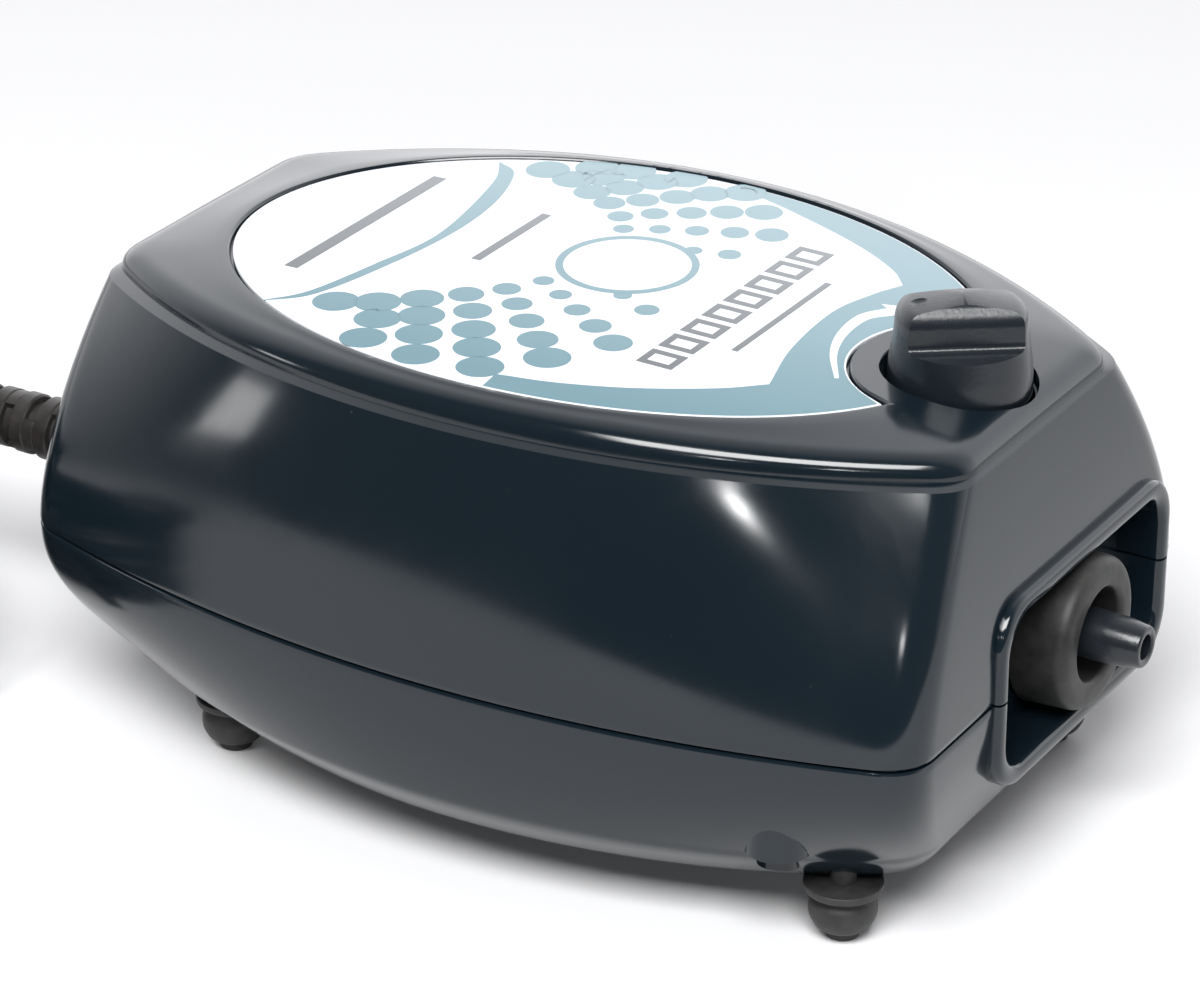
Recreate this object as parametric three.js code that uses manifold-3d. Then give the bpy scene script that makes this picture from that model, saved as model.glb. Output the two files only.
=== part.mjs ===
// A small aquarium air pump with an adjusting knob, as a scene of separate named pieces.
// Millimetres, +Z up, the outlet end at +X. The origin is on the floor, under the middle of the pump
// from the back of its casing to the tip of its outlet nozzle.
import * as THREE from "three";
import { mergeVertices } from "three/addons/utils/BufferGeometryUtils.js";
import Module from "manifold-3d";

const wasm = await Module();
wasm.setup();

// ---- driving dimensions ----
const gap = 0.3; // clearance between pieces that touch

// casing, as half lengths and half widths of its outlines
const wall = 2;
const seamLength = 60; // at the joint between the casings
const seamWidth = 44.1;
const seamEndWidth = seamWidth - 10.6; // the straight end of the outline
const seamHeight = 27.2;
const topLength = seamLength - 3; // at the edge of the top
const topWidth = seamWidth - 6.9;
const topEndWidth = topWidth - 19.4;
const crownHeight = 60;
const crownDrop = 1.1;
const edgeHeight = crownHeight - 1; // the top's edge at mid length
const edgeDrop = 1.6; // how much lower the edge is at the ends
const shoulderLength = seamLength - 2.7; // the lower casing where its side turns under
const shoulderWidth = seamWidth - 2.1;
const shoulderEndWidth = shoulderWidth - 16;
const shoulderHeight = 12;
const baseLength = shoulderLength - 3.8; // the flat bottom
const baseWidth = shoulderWidth - 4.5;
const baseEndWidth = baseWidth - 16;
const baseHeight = 6.5;
const rearBend = 17.5; // radius of the back's turn into the bottom
const cornerRound = 4.5;

// knob and label
const knobRadius = 8.2;
const knobTopRadius = knobRadius - 0.6;
const knobX = topLength - 10.2;
const knobShoulder = crownHeight + 3.2;
const knobTop = knobShoulder + 5.2;
const gripWidth = 7.5;
const gripAngle = 36; // degrees from +X; the dimple is at its far end
const wellRadius = knobRadius + 1.2;
const wellFloor = crownHeight - 3.6;
const shaftRadius = 2.4;
const labelLength = 47.4; // half axes of the oval label
const labelWidth = 33;
const labelThickness = 0.4;
const labelDepth = 0.9;
const labelCut = wellRadius + 3; // radius of the label's cut round the knob

// outlet
const outletY = 7;
const outletZ = 26.8;
const recessWidth = 22; // half sizes of the raised rim round the recess
const recessHeight = 12;
const rimWidth = 2.4;
const rimRound = 4.6;
const rimFront = seamLength + 0.9;
const panelFront = seamLength - 5;
const panelThickness = 2;
const nozzleRadius = 3;
const boreRadius = 1.5;
const grommetHole = nozzleRadius + 2.5;
const grommetRadius = grommetHole + 3.5;
const grommetFront = rimFront + 1.6;
const nozzleTip = grommetFront + 5.8;
const hoseRadius = 3.3;

// feet and screws
const footFront = seamLength - 12.1;
const footBack = seamLength - 24.3;
const footY = baseWidth - 10.9;
const footRadius = 4;
const screwFront = seamLength - 17.4;
const screwBack = seamLength - 27;
const screwY = seamWidth - 11.8;
const screwHeight = seamHeight + 8.8; // the tips of the casing screws
const wellScrewRadius = 3;
const bossRadius = 3.5;

// vibrating mechanism
const mechanismZ = 29; // height of the arm's middle
const plateZ = 15; // underside of the mechanism plate
const plateThickness = 2;
const coreX = -26; // middle of the electromagnet
const coreFront = 8; // its pole faces
const headX = 9; // middle of the pump head
const headFront = 8.7; // the face that clamps the diaphragm
const headHalf = 11.5; // half its length and height
const armY = 16;
const armThickness = 2.5;
const pivotX = 34;
const pivotRadius = 2;
const plateWidth = baseWidth - 13.5; // half its width
const damperY = plateWidth - 6;

// mains lead
const leadY = -12;
const leadRadius = 2.7;
const reliefRadius = 4.3;
const reliefLength = 25;
const reliefFlange = reliefRadius + 1.1;
const coilX = -102;
const coilMid = 27; // radius of the middle of the coil's turns
const coilHalfWidth = 8.1;
const coilBottom = 0.9;
const coilTop = 22.4;
const tieAngle = 20; // where the tie holds the coil, from +X
const plugRear = -103; // the plug lies across the top of the coil
const plugLength = 36;
const plugWidth = 26;
const plugHeight = 13.7;
const pinLength = 19;
const pinSpread = 9.3; // from the plug's middle to each pin

const centreShift = -(nozzleTip - seamLength) / 2; // puts the origin under the middle
const mechanismY = armY + armThickness / 2;
const turn = Math.PI / 180;

// ---- materials ----
function material(colour, roughness, metalness = 0) {
  return new THREE.MeshStandardMaterial({ color: colour, roughness, metalness });
}
const finish = {
  casing: material(0x11161c, 0.12),
  label: material(0xe9eef2, 0.35),
  knob: material(0x15181c, 0.25),
  rubber: material(0x3a3b3c, 0.75),
  blackRubber: material(0x1b1c1e, 0.65),
  steel: material(0xb4b6b8, 0.35, 1),
  lamination: material(0x6c6f73, 0.5, 1),
  copper: material(0xa9552a, 0.4, 1),
  brass: material(0xc6a250, 0.35, 1),
  nylon: material(0xd8d4c8, 0.5),
  board: material(0x2f6b45, 0.5),
  silicone: material(0xcfd3d2, 0.45),
  magnet: material(0x2b2c2f, 0.55, 0.3),
  aluminium: material(0xa7abad, 0.4, 1),
  felt: material(0xdcdcd6, 0.95),
  lead: material(0x1a1b1d, 0.55),
};

// ---- solids ----
const group = new THREE.Group();
group.position.x = centreShift;

function add(name, geometry, surface) {
  const mesh = new THREE.Mesh(geometry, surface);
  mesh.name = name;
  mesh.geometry.computeVertexNormals();
  group.add(mesh);
  return mesh;
}

function solid(geometry) {
  const bare = geometry.clone();
  bare.deleteAttribute("normal");
  bare.deleteAttribute("uv");
  const merged = mergeVertices(bare, 1e-4);
  return new wasm.Manifold(
    new wasm.Mesh({
      numProp: 3,
      vertProperties: merged.attributes.position.array,
      triVerts: new Uint32Array(merged.index.array),
    }),
  );
}

function geometryOf(manifold) {
  const mesh = manifold.getMesh();
  const geometry = new THREE.BufferGeometry();
  geometry.setAttribute("position", new THREE.BufferAttribute(mesh.vertProperties, 3));
  geometry.setIndex(new THREE.BufferAttribute(mesh.triVerts, 1));
  return geometry;
}

// One solid with others joined to it and others cut from it.
function cut(base, removed) {
  return removed.reduce((whole, piece) => whole.subtract(solid(piece)), base);
}
function join(base, added) {
  return added.reduce((whole, piece) => whole.add(solid(piece)), base);
}
function carve(base, removed, added = []) {
  return geometryOf(cut(join(solid(base), added), removed));
}

// ---- geometry helpers ----
function block(x0, x1, y0, y1, z0, z1) {
  const box = new THREE.BoxGeometry(x1 - x0, y1 - y0, z1 - z0);
  return box.translate((x0 + x1) / 2, (y0 + y1) / 2, (z0 + z1) / 2);
}

// Turns geometry built along +Z so that it points along the named axis.
function pointAlong(geometry, axis) {
  if (axis === "x") geometry.rotateY(Math.PI / 2);
  if (axis === "y") geometry.rotateX(-Math.PI / 2);
  return geometry;
}

// A solid of revolution; profile holds [radius, distance along the axis] pairs.
function turned(profile, axis, at, sides = 24) {
  const points = profile.map(([radius, along]) => new THREE.Vector2(radius, along));
  const inward = THREE.ShapeUtils.area(points) < 0;
  const lathe = new THREE.LatheGeometry(inward ? points.reverse() : points, sides);
  lathe.rotateX(Math.PI / 2);
  return pointAlong(lathe, axis).translate(...at);
}

function rod(radius, from, to, axis, at, sides = 24) {
  return turned([[0, from], [radius, from], [radius, to], [0, to]], axis, at, sides);
}

function ring(inner, outer, from, to, axis, at, sides = 24) {
  const profile = [[inner, from], [outer, from], [outer, to], [inner, to], [inner, from]];
  return turned(profile, axis, at, sides);
}

// A closed solid through a stack of outlines with equal point counts, lowest first.
function loft(outlines) {
  const count = outlines[0].length;
  const positions = outlines.flat().flatMap((p) => [p.x, p.y, p.z]);
  const faces = [];
  for (let k = 0; k < outlines.length - 1; k++)
    for (let i = 0; i < count; i++) {
      const a = k * count + i;
      const b = k * count + ((i + 1) % count);
      faces.push(a, b, b + count, a, b + count, a + count);
    }
  for (const [k, up] of [[0, false], [outlines.length - 1, true]]) {
    const centre = new THREE.Vector3();
    outlines[k].forEach((p) => centre.add(p));
    centre.divideScalar(count);
    const hub = positions.length / 3;
    positions.push(centre.x, centre.y, centre.z);
    for (let i = 0; i < count; i++) {
      const a = k * count + i;
      const b = k * count + ((i + 1) % count);
      faces.push(...(up ? [hub, a, b] : [hub, b, a]));
    }
  }
  const geometry = new THREE.BufferGeometry();
  geometry.setAttribute("position", new THREE.Float32BufferAttribute(positions, 3));
  geometry.setIndex(faces);
  return geometry;
}

function roundedRectangle(halfWidth, halfHeight, radius) {
  const shape = new THREE.Shape();
  const x = halfWidth - radius;
  const y = halfHeight - radius;
  shape.absarc(x, y, radius, 0, Math.PI / 2);
  shape.absarc(-x, y, radius, Math.PI / 2, Math.PI);
  shape.absarc(-x, -y, radius, Math.PI, Math.PI * 1.5);
  shape.absarc(x, -y, radius, Math.PI * 1.5, Math.PI * 2);
  shape.closePath();
  return shape;
}

function extruded(shape, depth, options = {}) {
  return new THREE.ExtrudeGeometry(shape, { depth, bevelEnabled: false, curveSegments: 5, ...options });
}

// A rounded rectangle in the plane across X, from x0 to x1, round (y, z).
function endPrism(halfWidth, halfHeight, radius, x0, x1, y, z) {
  const prism = extruded(roundedRectangle(halfWidth, halfHeight, radius), x1 - x0);
  prism.rotateY(Math.PI / 2).rotateX(Math.PI / 2);
  return prism.translate(x0, y, z);
}

// ---- casing outlines ----
const cornerSteps = 3;
const sideSteps = 12;

// One closed outline: straight ends, bowed sides, rounded corners. size holds half lengths to the
// front and rear, the half width at mid length and at the ends, and the corner rounding.
function outline(size, heightAt) {
  const { front, rear, middle, end, round } = size;
  const sagitta = middle - end;
  const bow = (front * front + sagitta * sagitta) / (2 * sagitta);
  const side = (t) => {
    const y = middle - bow + Math.sqrt(bow * bow - t * t * front * front);
    return new THREE.Vector2(t * (t > 0 ? front : rear), y);
  };
  const reach = 1 - round / front;
  const half = [];
  const corner = (from, control, to) => {
    const curve = new THREE.QuadraticBezierCurve(from, control, to);
    half.push(...curve.getPoints(cornerSteps));
  };
  corner(new THREE.Vector2(front, end - round), side(1), side(reach));
  for (let i = 1; i < sideSteps; i++) half.push(side(reach * (1 - (2 * i) / sideSteps)));
  corner(side(-reach), side(-1), new THREE.Vector2(-rear, end - round));
  const mirrored = half.map((p) => new THREE.Vector2(p.x, -p.y)).reverse();
  return [...half, ...mirrored].map((p) => new THREE.Vector3(p.x, p.y, heightAt(p.x)));
}

const edgeAt = (x) => edgeHeight - edgeDrop * (x / topLength) ** 2;
const crownAt = (x) => crownHeight - crownDrop * (x / topLength) ** 2;
const mix = (a, b, t) => a + (b - a) * t;

// The upper casing's outline at a share of the way from the joint to the top's edge.
function upperOutline(share, inset, drop = 0) {
  const bulge = share * share;
  const length = mix(seamLength, topLength, bulge) - inset;
  const size = {
    front: length,
    rear: length,
    middle: mix(seamWidth, topWidth, bulge) - inset,
    end: mix(seamEndWidth, topEndWidth, Math.max(0, share) ** 1.5) - inset * 0.75,
    round: mix(cornerRound, cornerRound * 0.6, share),
  };
  return outline(size, (x) => mix(seamHeight, edgeAt(x), share) - drop);
}

// The lower casing's outline at a height; inset moves it inwards.
function lowerOutline(height, inset, lift = 0) {
  const turnShare = Math.min(1, (seamHeight - height) / (seamHeight - shoulderHeight));
  const underShare = Math.max(0, (shoulderHeight - height) / (shoulderHeight - baseHeight));
  const bulge = turnShare * turnShare;
  const side = (seam, shoulder, base) => mix(mix(seam, shoulder, bulge), base, underShare ** 1.3);
  const bend = Math.min(1, (seamHeight - 3 - height) / (seamHeight - 3 - baseHeight));
  const rear = seamLength - rearBend * (1 - Math.sqrt(1 - Math.max(0, bend) ** 2));
  const size = {
    front: side(seamLength, shoulderLength, baseLength) - inset,
    rear: rear - inset,
    middle: side(seamWidth, shoulderWidth, baseWidth) - inset,
    end: side(seamEndWidth, shoulderEndWidth, baseEndWidth) - inset * 0.75,
    round: cornerRound,
  };
  return outline(size, () => height + lift);
}

// An ellipse with the same point count as the outlines, on the crown.
function crownEllipse(length, width, offset) {
  const guide = upperOutline(1, 0);
  return guide.map((p) => {
    const angle = Math.atan2(p.y / width, p.x / length);
    const x = length * Math.cos(angle);
    return new THREE.Vector3(x, width * Math.sin(angle), crownAt(x) + offset);
  });
}

const crownShares = [0.7, 0.35];

function upperOuter(from) {
  const shares = [0.18, 0.36, 0.54, 0.7, 0.84];
  return loft([
    upperOutline(from, 0),
    ...shares.map((share) => upperOutline(share, 0)),
    upperOutline(1, 0, 1.2),
    upperOutline(1, 0.3, 0.35),
    upperOutline(1, 1, 0),
    crownEllipse(labelLength + 0.8, labelWidth + 0.8, 0),
    ...crownShares.map((share) => crownEllipse(labelLength * share, labelWidth * share, 0)),
  ]);
}

function upperInner() {
  const shares = [-0.06, 0.07, 0.3, 0.6];
  return loft([
    ...shares.map((share) => upperOutline(share, wall)),
    upperOutline(0.86, wall + 0.3),
    upperOutline(1, wall + 1.6, 2.6),
    crownEllipse(labelLength, labelWidth - 2, -3),
    crownEllipse(labelLength / 2, labelWidth / 2, -3),
  ]);
}

function lowerOuter() {
  const heights = [baseHeight, 7.6, 9.4, shoulderHeight, 14.5, 18.5, 23, seamHeight - gap / 2];
  return loft(heights.map((height) => lowerOutline(height, 0)));
}

function lowerInner() {
  const heights = [baseHeight, 9.4, shoulderHeight, 18.5, seamHeight + 1];
  return loft(heights.map((height) => lowerOutline(height, wall, height === baseHeight ? wall : 0)));
}

// ---- casing features ----
const screwPlaces = [
  ["front_right", screwFront, -screwY],
  ["front_left", screwFront, screwY],
  ["rear_right", -screwBack, -screwY],
  ["rear_left", -screwBack, screwY],
];
const footPlaces = [
  ["front_right", footFront, -footY],
  ["front_left", footFront, footY],
  ["rear_right", -footBack, -footY],
  ["rear_left", -footBack, footY],
];
const screwWellTop = 14;
const filterRadius = 12.4;
const filterY = 0;

// The raised frame round the outlet recess, and the opening inside it.
function recessFrame() {
  return endPrism(recessWidth, recessHeight, rimRound, panelFront + gap, rimFront, outletY, outletZ);
}
function recessOpening() {
  const halfWidth = recessWidth - rimWidth;
  const halfHeight = recessHeight - rimWidth;
  return endPrism(halfWidth, halfHeight, rimRound - 1.6, panelFront - 12, rimFront + 3, outletY, outletZ);
}
// Room for the outlet panel and what is fixed to it, behind the frame.
function panelRoom() {
  const reach = gap * 2;
  return endPrism(recessWidth + reach, recessHeight + reach, rimRound,
    panelFront - panelThickness - gap, panelFront + gap, outletY, outletZ);
}
function leadSlot() {
  return rod(reliefRadius - 0.7 + gap, -seamLength - 4, -seamLength + 6, "x", [0, leadY, seamHeight]);
}

function upperCasing() {
  const outer = solid(upperOuter(gap / 2 / (edgeHeight - seamHeight)));
  const bosses = screwPlaces.map(([, x, y]) =>
    rod(bossRadius, seamHeight + gap / 2, edgeHeight, "z", [x, y, 0], 16));
  const pad = rod(wellRadius + wall, wellFloor - wall, crownHeight, "z", [knobX, 0, 0], 32);
  const inside = join(solid(bosses[0]), [...bosses.slice(1), pad]).intersect(outer);
  const frame = cut(solid(recessFrame()), [block(panelFront, rimFront + 4, -40, 60, 0, seamHeight + gap / 2)]);
  const shell = outer.subtract(solid(upperInner())).add(inside).add(frame);
  const label = solid(loft([
    crownEllipse(labelLength, labelWidth, -labelDepth),
    crownEllipse(labelLength, labelWidth, 3),
  ])).subtract(solid(rod(labelCut, 50, 70, "z", [knobX, 0, 0], 40)));
  const holes = screwPlaces.map(([, x, y]) =>
    rod(1.3 + gap, seamHeight - 1, screwHeight + 1, "z", [x, y, 0], 12));
  const well = rod(wellRadius, wellFloor, crownHeight + 9, "z", [knobX, 0, 0], 40);
  const shaftHole = rod(shaftRadius + 1 + gap, wellFloor - 4, wellFloor + 1, "z", [knobX, 0, 0]);
  const cuts = [recessOpening(), panelRoom(), leadSlot(), well, shaftHole, ...holes];
  return geometryOf(cut(shell.subtract(label), cuts));
}

function lowerLip() {
  const low = seamHeight - 3;
  const outer = loft([
    lowerOutline(low, wall - 0.2),
    lowerOutline(seamHeight - gap / 2, wall - 0.2),
    lowerOutline(seamHeight, wall + gap + 0.15),
    lowerOutline(seamHeight, wall + gap + 0.15, 1.6),
  ]);
  const inner = loft([
    lowerOutline(low, wall + 1.3, -1),
    lowerOutline(seamHeight, wall + 1.3, 3),
  ]);
  return solid(outer).subtract(solid(inner));
}

function lowerCasing() {
  const reliefRoom = reliefFlange + 0.6;
  const outer = solid(lowerOuter());
  const bosses = screwPlaces.map(([, x, y]) =>
    rod(bossRadius + 1, baseHeight, screwWellTop + wall, "z", [x, y, 0], 20));
  const posts = screwPlaces.map(([, x, y]) =>
    rod(bossRadius, baseHeight, seamHeight - gap / 2, "z", [x, y, 0], 16));
  const cup = rod(filterRadius + gap + wall, baseHeight, 13.4, "z", [0, filterY, 0], 28);
  const inside = join(solid(cup), [...bosses, ...posts]).intersect(outer);
  const frame = cut(solid(recessFrame()), [block(panelFront, rimFront + 4, -40, 60, seamHeight - gap / 2, 60)]);
  const shell = outer.subtract(solid(lowerInner())).add(inside).add(lowerLip()).add(frame);
  const cuts = [
    recessOpening(),
    panelRoom(),
    leadSlot(),
    rod(filterRadius + gap, 0, 11.6, "z", [0, filterY, 0], 28),
    rod(5, 0, 20, "z", [0, filterY, 0], 16),
    ...screwPlaces.map(([, x, y]) => rod(wellScrewRadius, 0, screwWellTop, "z", [x, y, 0])),
    ...screwPlaces.map(([, x, y]) => rod(1.3 + gap, 0, seamHeight + 4, "z", [x, y, 0], 12)),
    ...footPlaces.map(([, x, y]) => rod(footRadius + 0.9, 0, baseHeight + 0.9, "z", [x, y, 0])),
    ...footPlaces.map(([, x, y]) => rod(1.5 + gap, 0, 12, "z", [x, y, 0], 12)),
    ...screwPlaces.map(([, x, y]) => rod(bossRadius + gap, seamHeight - gap / 2, 40, "z", [x, y, 0], 16)),
    block(panelFront - 4, 70, outletY - recessWidth - 1, outletY + recessWidth + 1, seamHeight - gap / 2, 40),
    block(-seamLength + wall, -seamLength + 10, leadY - reliefRoom, leadY + reliefRoom,
      seamHeight - reliefRoom, 40),
  ];
  return geometryOf(cut(shell, cuts));
}

function casingScrew(x, y) {
  return turned([
    [0, screwWellTop - 2.2], [1.8, screwWellTop - 2.1], [2.4, screwWellTop - 1.4],
    [2.4, screwWellTop - gap], [1.3, screwWellTop - gap], [1.3, screwHeight - 1], [0, screwHeight],
  ], "z", [x, y, 0], 16);
}

function foot(x, y) {
  const radius = footRadius;
  return turned([
    [0, 0], [radius * 0.49, 0], [radius * 0.49, 1.2], [radius * 0.78, 1.5], [radius * 0.97, 2.4],
    [radius, 3.4], [radius * 0.95, 4.4], [radius * 0.84, 5.2], [radius * 0.84, 5.9],
    [radius + 0.6, 6.2], [radius + 0.6, baseHeight + 0.6], [1.5, baseHeight + 0.6],
    [1.5, baseHeight + 3.4], [1, baseHeight + 4], [0, baseHeight + 4],
  ], "z", [x, y, 0], 16);
}

// ---- label, knob and control ----
function topLabel() {
  const under = labelDepth - gap;
  const sheet = solid(loft([
    crownEllipse(labelLength - gap, labelWidth - gap, -under),
    crownEllipse(labelLength - gap, labelWidth - gap, labelThickness - under),
    ...crownShares.map((share) =>
      crownEllipse(labelLength * share, labelWidth * share, labelThickness - under)),
  ]));
  return geometryOf(cut(sheet, [rod(labelCut + gap, 50, 70, "z", [knobX, 0, 0], 40)]));
}

function controlKnob() {
  const top = knobTop - wellFloor;
  const shoulder = knobShoulder - wellFloor;
  const body = turned([
    [0, gap], [knobRadius, gap], [knobRadius, 3], [knobTopRadius + 0.25, shoulder - 0.6],
    [knobTopRadius, shoulder], [knobTopRadius, top - 0.8], [knobTopRadius - 0.8, top], [0, top],
  ], "z", [0, 0, 0], 48);
  const half = gripWidth / 2;
  const reach = knobRadius + 2;
  const slabs = [
    block(-reach, reach, half, reach, shoulder, top + 1),
    block(-reach, reach, -reach, -half, shoulder, top + 1),
  ];
  const hollow = rod(6.5, 0, 3.2, "z", [0, 0, 0]);
  const bore = rod(shaftRadius + gap, 0, top - 3, "z", [0, 0, 0]);
  const dimple = new THREE.SphereGeometry(1.4, 16, 10).translate(-5.5, 0, top + 0.6);
  return carve(body, [...slabs, hollow, bore, dimple]).rotateZ(gripAngle * turn)
    .translate(knobX, 0, wellFloor);
}

const potTop = wellFloor - wall - gap; // top of the potentiometer's can
const potBottom = potTop - 9;

function potentiometer() {
  const can = rod(7.4, potBottom, potTop, "z", [knobX, 0, 0], 24);
  const bush = rod(shaftRadius + 1, potTop - 1, wellFloor + 2.6, "z", [knobX, 0, 0]);
  const bore = rod(shaftRadius + gap, potBottom + 2, wellFloor + 4, "z", [knobX, 0, 0]);
  return carve(can, [bore], [bush]);
}

function potentiometerShaft() {
  const length = knobTop - 3 - gap;
  return rod(shaftRadius, potBottom + 2 + gap, length, "z", [knobX, 0, 0]);
}

function potentiometerNut() {
  const nut = rod(5.4, wellFloor + gap, wellFloor + 2.2, "z", [knobX, 0, 0], 6);
  return carve(nut, [rod(shaftRadius + 1 + gap, 50, 70, "z", [knobX, 0, 0])]);
}

const boardTop = potBottom - gap;
const boardBottom = boardTop - 1.6;

// ---- outlet ----
const outlet = [0, outletY, outletZ];

function outletPanel() {
  const back = panelFront - panelThickness;
  const plate = endPrism(recessWidth, recessHeight, rimRound, back, panelFront, outletY, outletZ);
  return carve(plate, [rod(grommetRadius - 3 + gap, back - 1, panelFront + 1, "x", outlet)]);
}

function grommet() {
  const neck = grommetRadius - 3;
  const back = panelFront - panelThickness - gap;
  return turned([
    [nozzleRadius + gap, back - 2], [neck + 1.8, back - 2], [neck + 1.8, back], [neck, back],
    [neck, panelFront + gap], [grommetRadius + 0.5, panelFront + gap],
    [grommetRadius + 0.1, grommetFront - 1.2], [grommetRadius - 0.8, grommetFront],
    [grommetHole, grommetFront], [grommetHole, panelFront + 2.5],
    [nozzleRadius + gap, panelFront + 1.5], [nozzleRadius + gap, back - 2],
  ], "x", outlet, 32);
}

const nozzleFlange = panelFront - panelThickness - gap - 2 - gap;
const barbStart = 41.5;

function nozzle() {
  const barb = 1.9;
  return turned([
    [boreRadius, nozzleTip], [nozzleRadius - 0.7, nozzleTip], [nozzleRadius - 0.4, nozzleTip - 0.6],
    [nozzleRadius, nozzleTip - 3], [nozzleRadius, nozzleFlange], [5, nozzleFlange],
    [5, nozzleFlange - 1.8], [barb, nozzleFlange - 1.8], [barb, barbStart], [1.1, barbStart],
    [1.1, nozzleFlange], [boreRadius, nozzleFlange], [boreRadius, nozzleTip],
  ], "x", outlet, 24);
}

const spigotEnd = headX + headHalf + 7;
const headOutletY = -11;

function outletHose() {
  const start = new THREE.Vector3(headX + headHalf + 1.5, headOutletY, mechanismZ);
  const bendStart = new THREE.Vector3(spigotEnd + 0.5, headOutletY, mechanismZ);
  const bendEnd = new THREE.Vector3(barbStart - 1.2, outletY, outletZ);
  const end = new THREE.Vector3(nozzleFlange - 1.8 - gap, outletY, outletZ);
  const pull = 8.5;
  const path = new THREE.CurvePath();
  path.add(new THREE.LineCurve3(start, bendStart));
  path.add(new THREE.CubicBezierCurve3(
    bendStart,
    bendStart.clone().setX(bendStart.x + pull),
    bendEnd.clone().setX(bendEnd.x - pull),
    bendEnd,
  ));
  path.add(new THREE.LineCurve3(bendEnd, end));
  const section = new THREE.Shape().absarc(0, 0, hoseRadius, 0, Math.PI * 2);
  section.holes.push(new THREE.Path().absarc(0, 0, 1.9 + gap, 0, Math.PI * 2, true));
  return extruded(section, 0, { extrudePath: path, steps: 24, curveSegments: 3 });
}

// ---- vibrating mechanism ----
const coreBack = coreFront - 22;
const deck = plateZ + plateThickness + gap; // what stands on the plate starts here
const damperPlaces = [
  ["front_right", 27, -damperY],
  ["front_left", 22, damperY],
  ["rear_right", -34, -damperY],
  ["rear_left", -34, damperY],
];

function mechanismPlate() {
  const plate = extruded(roundedRectangle(41, plateWidth, 4), plateThickness).translate(1, 0, plateZ);
  const coilWindow = block(coreX - 9, coreX + 9, coreBack + 5, coreFront + 1, 0, 40);
  const necks = damperPlaces.map(([, x, y]) => rod(2 + gap, 0, 40, "z", [x, y, 0], 16));
  return carve(plate, [coilWindow, ...necks]);
}

function damper(x, y) {
  const floor = baseHeight + wall + gap;
  return turned([
    [0, floor], [3.8, floor], [3.8, plateZ - gap], [2, plateZ - gap], [2, deck], [3.4, deck],
    [3, deck + 1.6], [0, deck + 1.6],
  ], "z", [x, y, 0], 16);
}

const coreTop = deck + 21;
const coreMiddle = (deck + coreTop) / 2;

function coilCore() {
  const shape = new THREE.Shape();
  const corners = [
    [-14, 0], [14, 0], [14, 22], [8.5, 22], [8.5, 6], [3.5, 6], [3.5, 22], [-3.5, 22], [-3.5, 6],
    [-8.5, 6], [-8.5, 22], [-14, 22],
  ];
  corners.forEach(([x, y], i) => (i ? shape.lineTo(x, y) : shape.moveTo(x, y)));
  shape.closePath();
  return extruded(shape, coreTop - deck).translate(coreX, coreBack, deck);
}

function coilBobbin() {
  const inner = 3.5 + gap;
  const halfHigh = (coreTop - deck) / 2 + gap;
  const low = coreBack + 6 + gap;
  const tube = block(coreX - inner - 0.8, coreX + inner + 0.8, low, coreFront - 1,
    coreMiddle - halfHigh - 0.8, coreMiddle + halfHigh + 0.8);
  const flange = (y) => block(coreX - 8, coreX + 8, y, y + 1,
    coreMiddle - halfHigh - 4, coreMiddle + halfHigh + 4);
  const window = block(coreX - inner, coreX + inner, -40, 40, coreMiddle - halfHigh, coreMiddle + halfHigh);
  return carve(tube, [window], [flange(low), flange(coreFront - 2)]);
}

function coilWinding() {
  const inner = 3.5 + gap + 0.8 + gap;
  const halfHigh = (coreTop - deck) / 2 + gap + 0.8 + gap;
  const low = coreBack + 6 + gap + 1 + gap;
  const high = coreFront - 2 - gap;
  const outer = block(coreX - 8, coreX + 8, low, high, coreMiddle - halfHigh - 2.6,
    coreMiddle + halfHigh + 2.6);
  return carve(outer, [
    block(coreX - inner, coreX + inner, -40, 40, coreMiddle - halfHigh, coreMiddle + halfHigh),
  ]);
}

function vibratingArm() {
  const height = 12;
  const eye = ring(5, 7, mechanismZ - height / 2, mechanismZ + height / 2, "z",
    [pivotX, mechanismY, 0], 28);
  const bar = block(coreX - 7, pivotX - 5.5, armY, armY + armThickness,
    mechanismZ - height / 2, mechanismZ + height / 2);
  const hole = rod(1.3 + gap, -40, 40, "y", [headX, 0, mechanismZ], 16);
  const pocket = rod(5, 0, 60, "z", [pivotX, mechanismY, 0], 28);
  return carve(bar, [hole, pocket], [eye]);
}

function armMagnet() {
  return block(coreX - 6, coreX + 6, coreFront + 2.5, armY - gap, mechanismZ - 7, mechanismZ + 7);
}

function pivotPost() {
  const foot2 = block(pivotX - 6, pivotX + 6, mechanismY - 6, mechanismY + 6, deck, deck + 1.6);
  return carve(foot2, [], [rod(pivotRadius, deck, mechanismZ + 9, "z", [pivotX, mechanismY, 0], 20)]);
}

function pivotBush() {
  return ring(pivotRadius + gap, 5 - gap, mechanismZ - 7, mechanismZ + 7, "z",
    [pivotX, mechanismY, 0], 24);
}

const headBack = headFront - 14.7;
const headLow = deck;
const headHigh = mechanismZ + headHalf;
const portSpread = 5;
const chamberRadius = 8.8;

function pumpHead() {
  const body = block(headX - headHalf, headX + headHalf, headBack, headFront, headLow, headHigh);
  const chamber = rod(chamberRadius, headFront - 6.7, headFront + 1, "y", [headX, 0, mechanismZ], 28);
  const port = (side) =>
    rod(boreRadius, -40, headFront - 4, "y", [headX + side * portSpread, 0, mechanismZ], 12);
  const flapRoom = block(headX - portSpread - 3.1, headX - portSpread + 3.1, headBack - 1,
    headBack + 3.6, mechanismZ - 4.8, mechanismZ + 6.6);
  return carve(body, [chamber, port(1), port(-1), flapRoom]);
}

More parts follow.
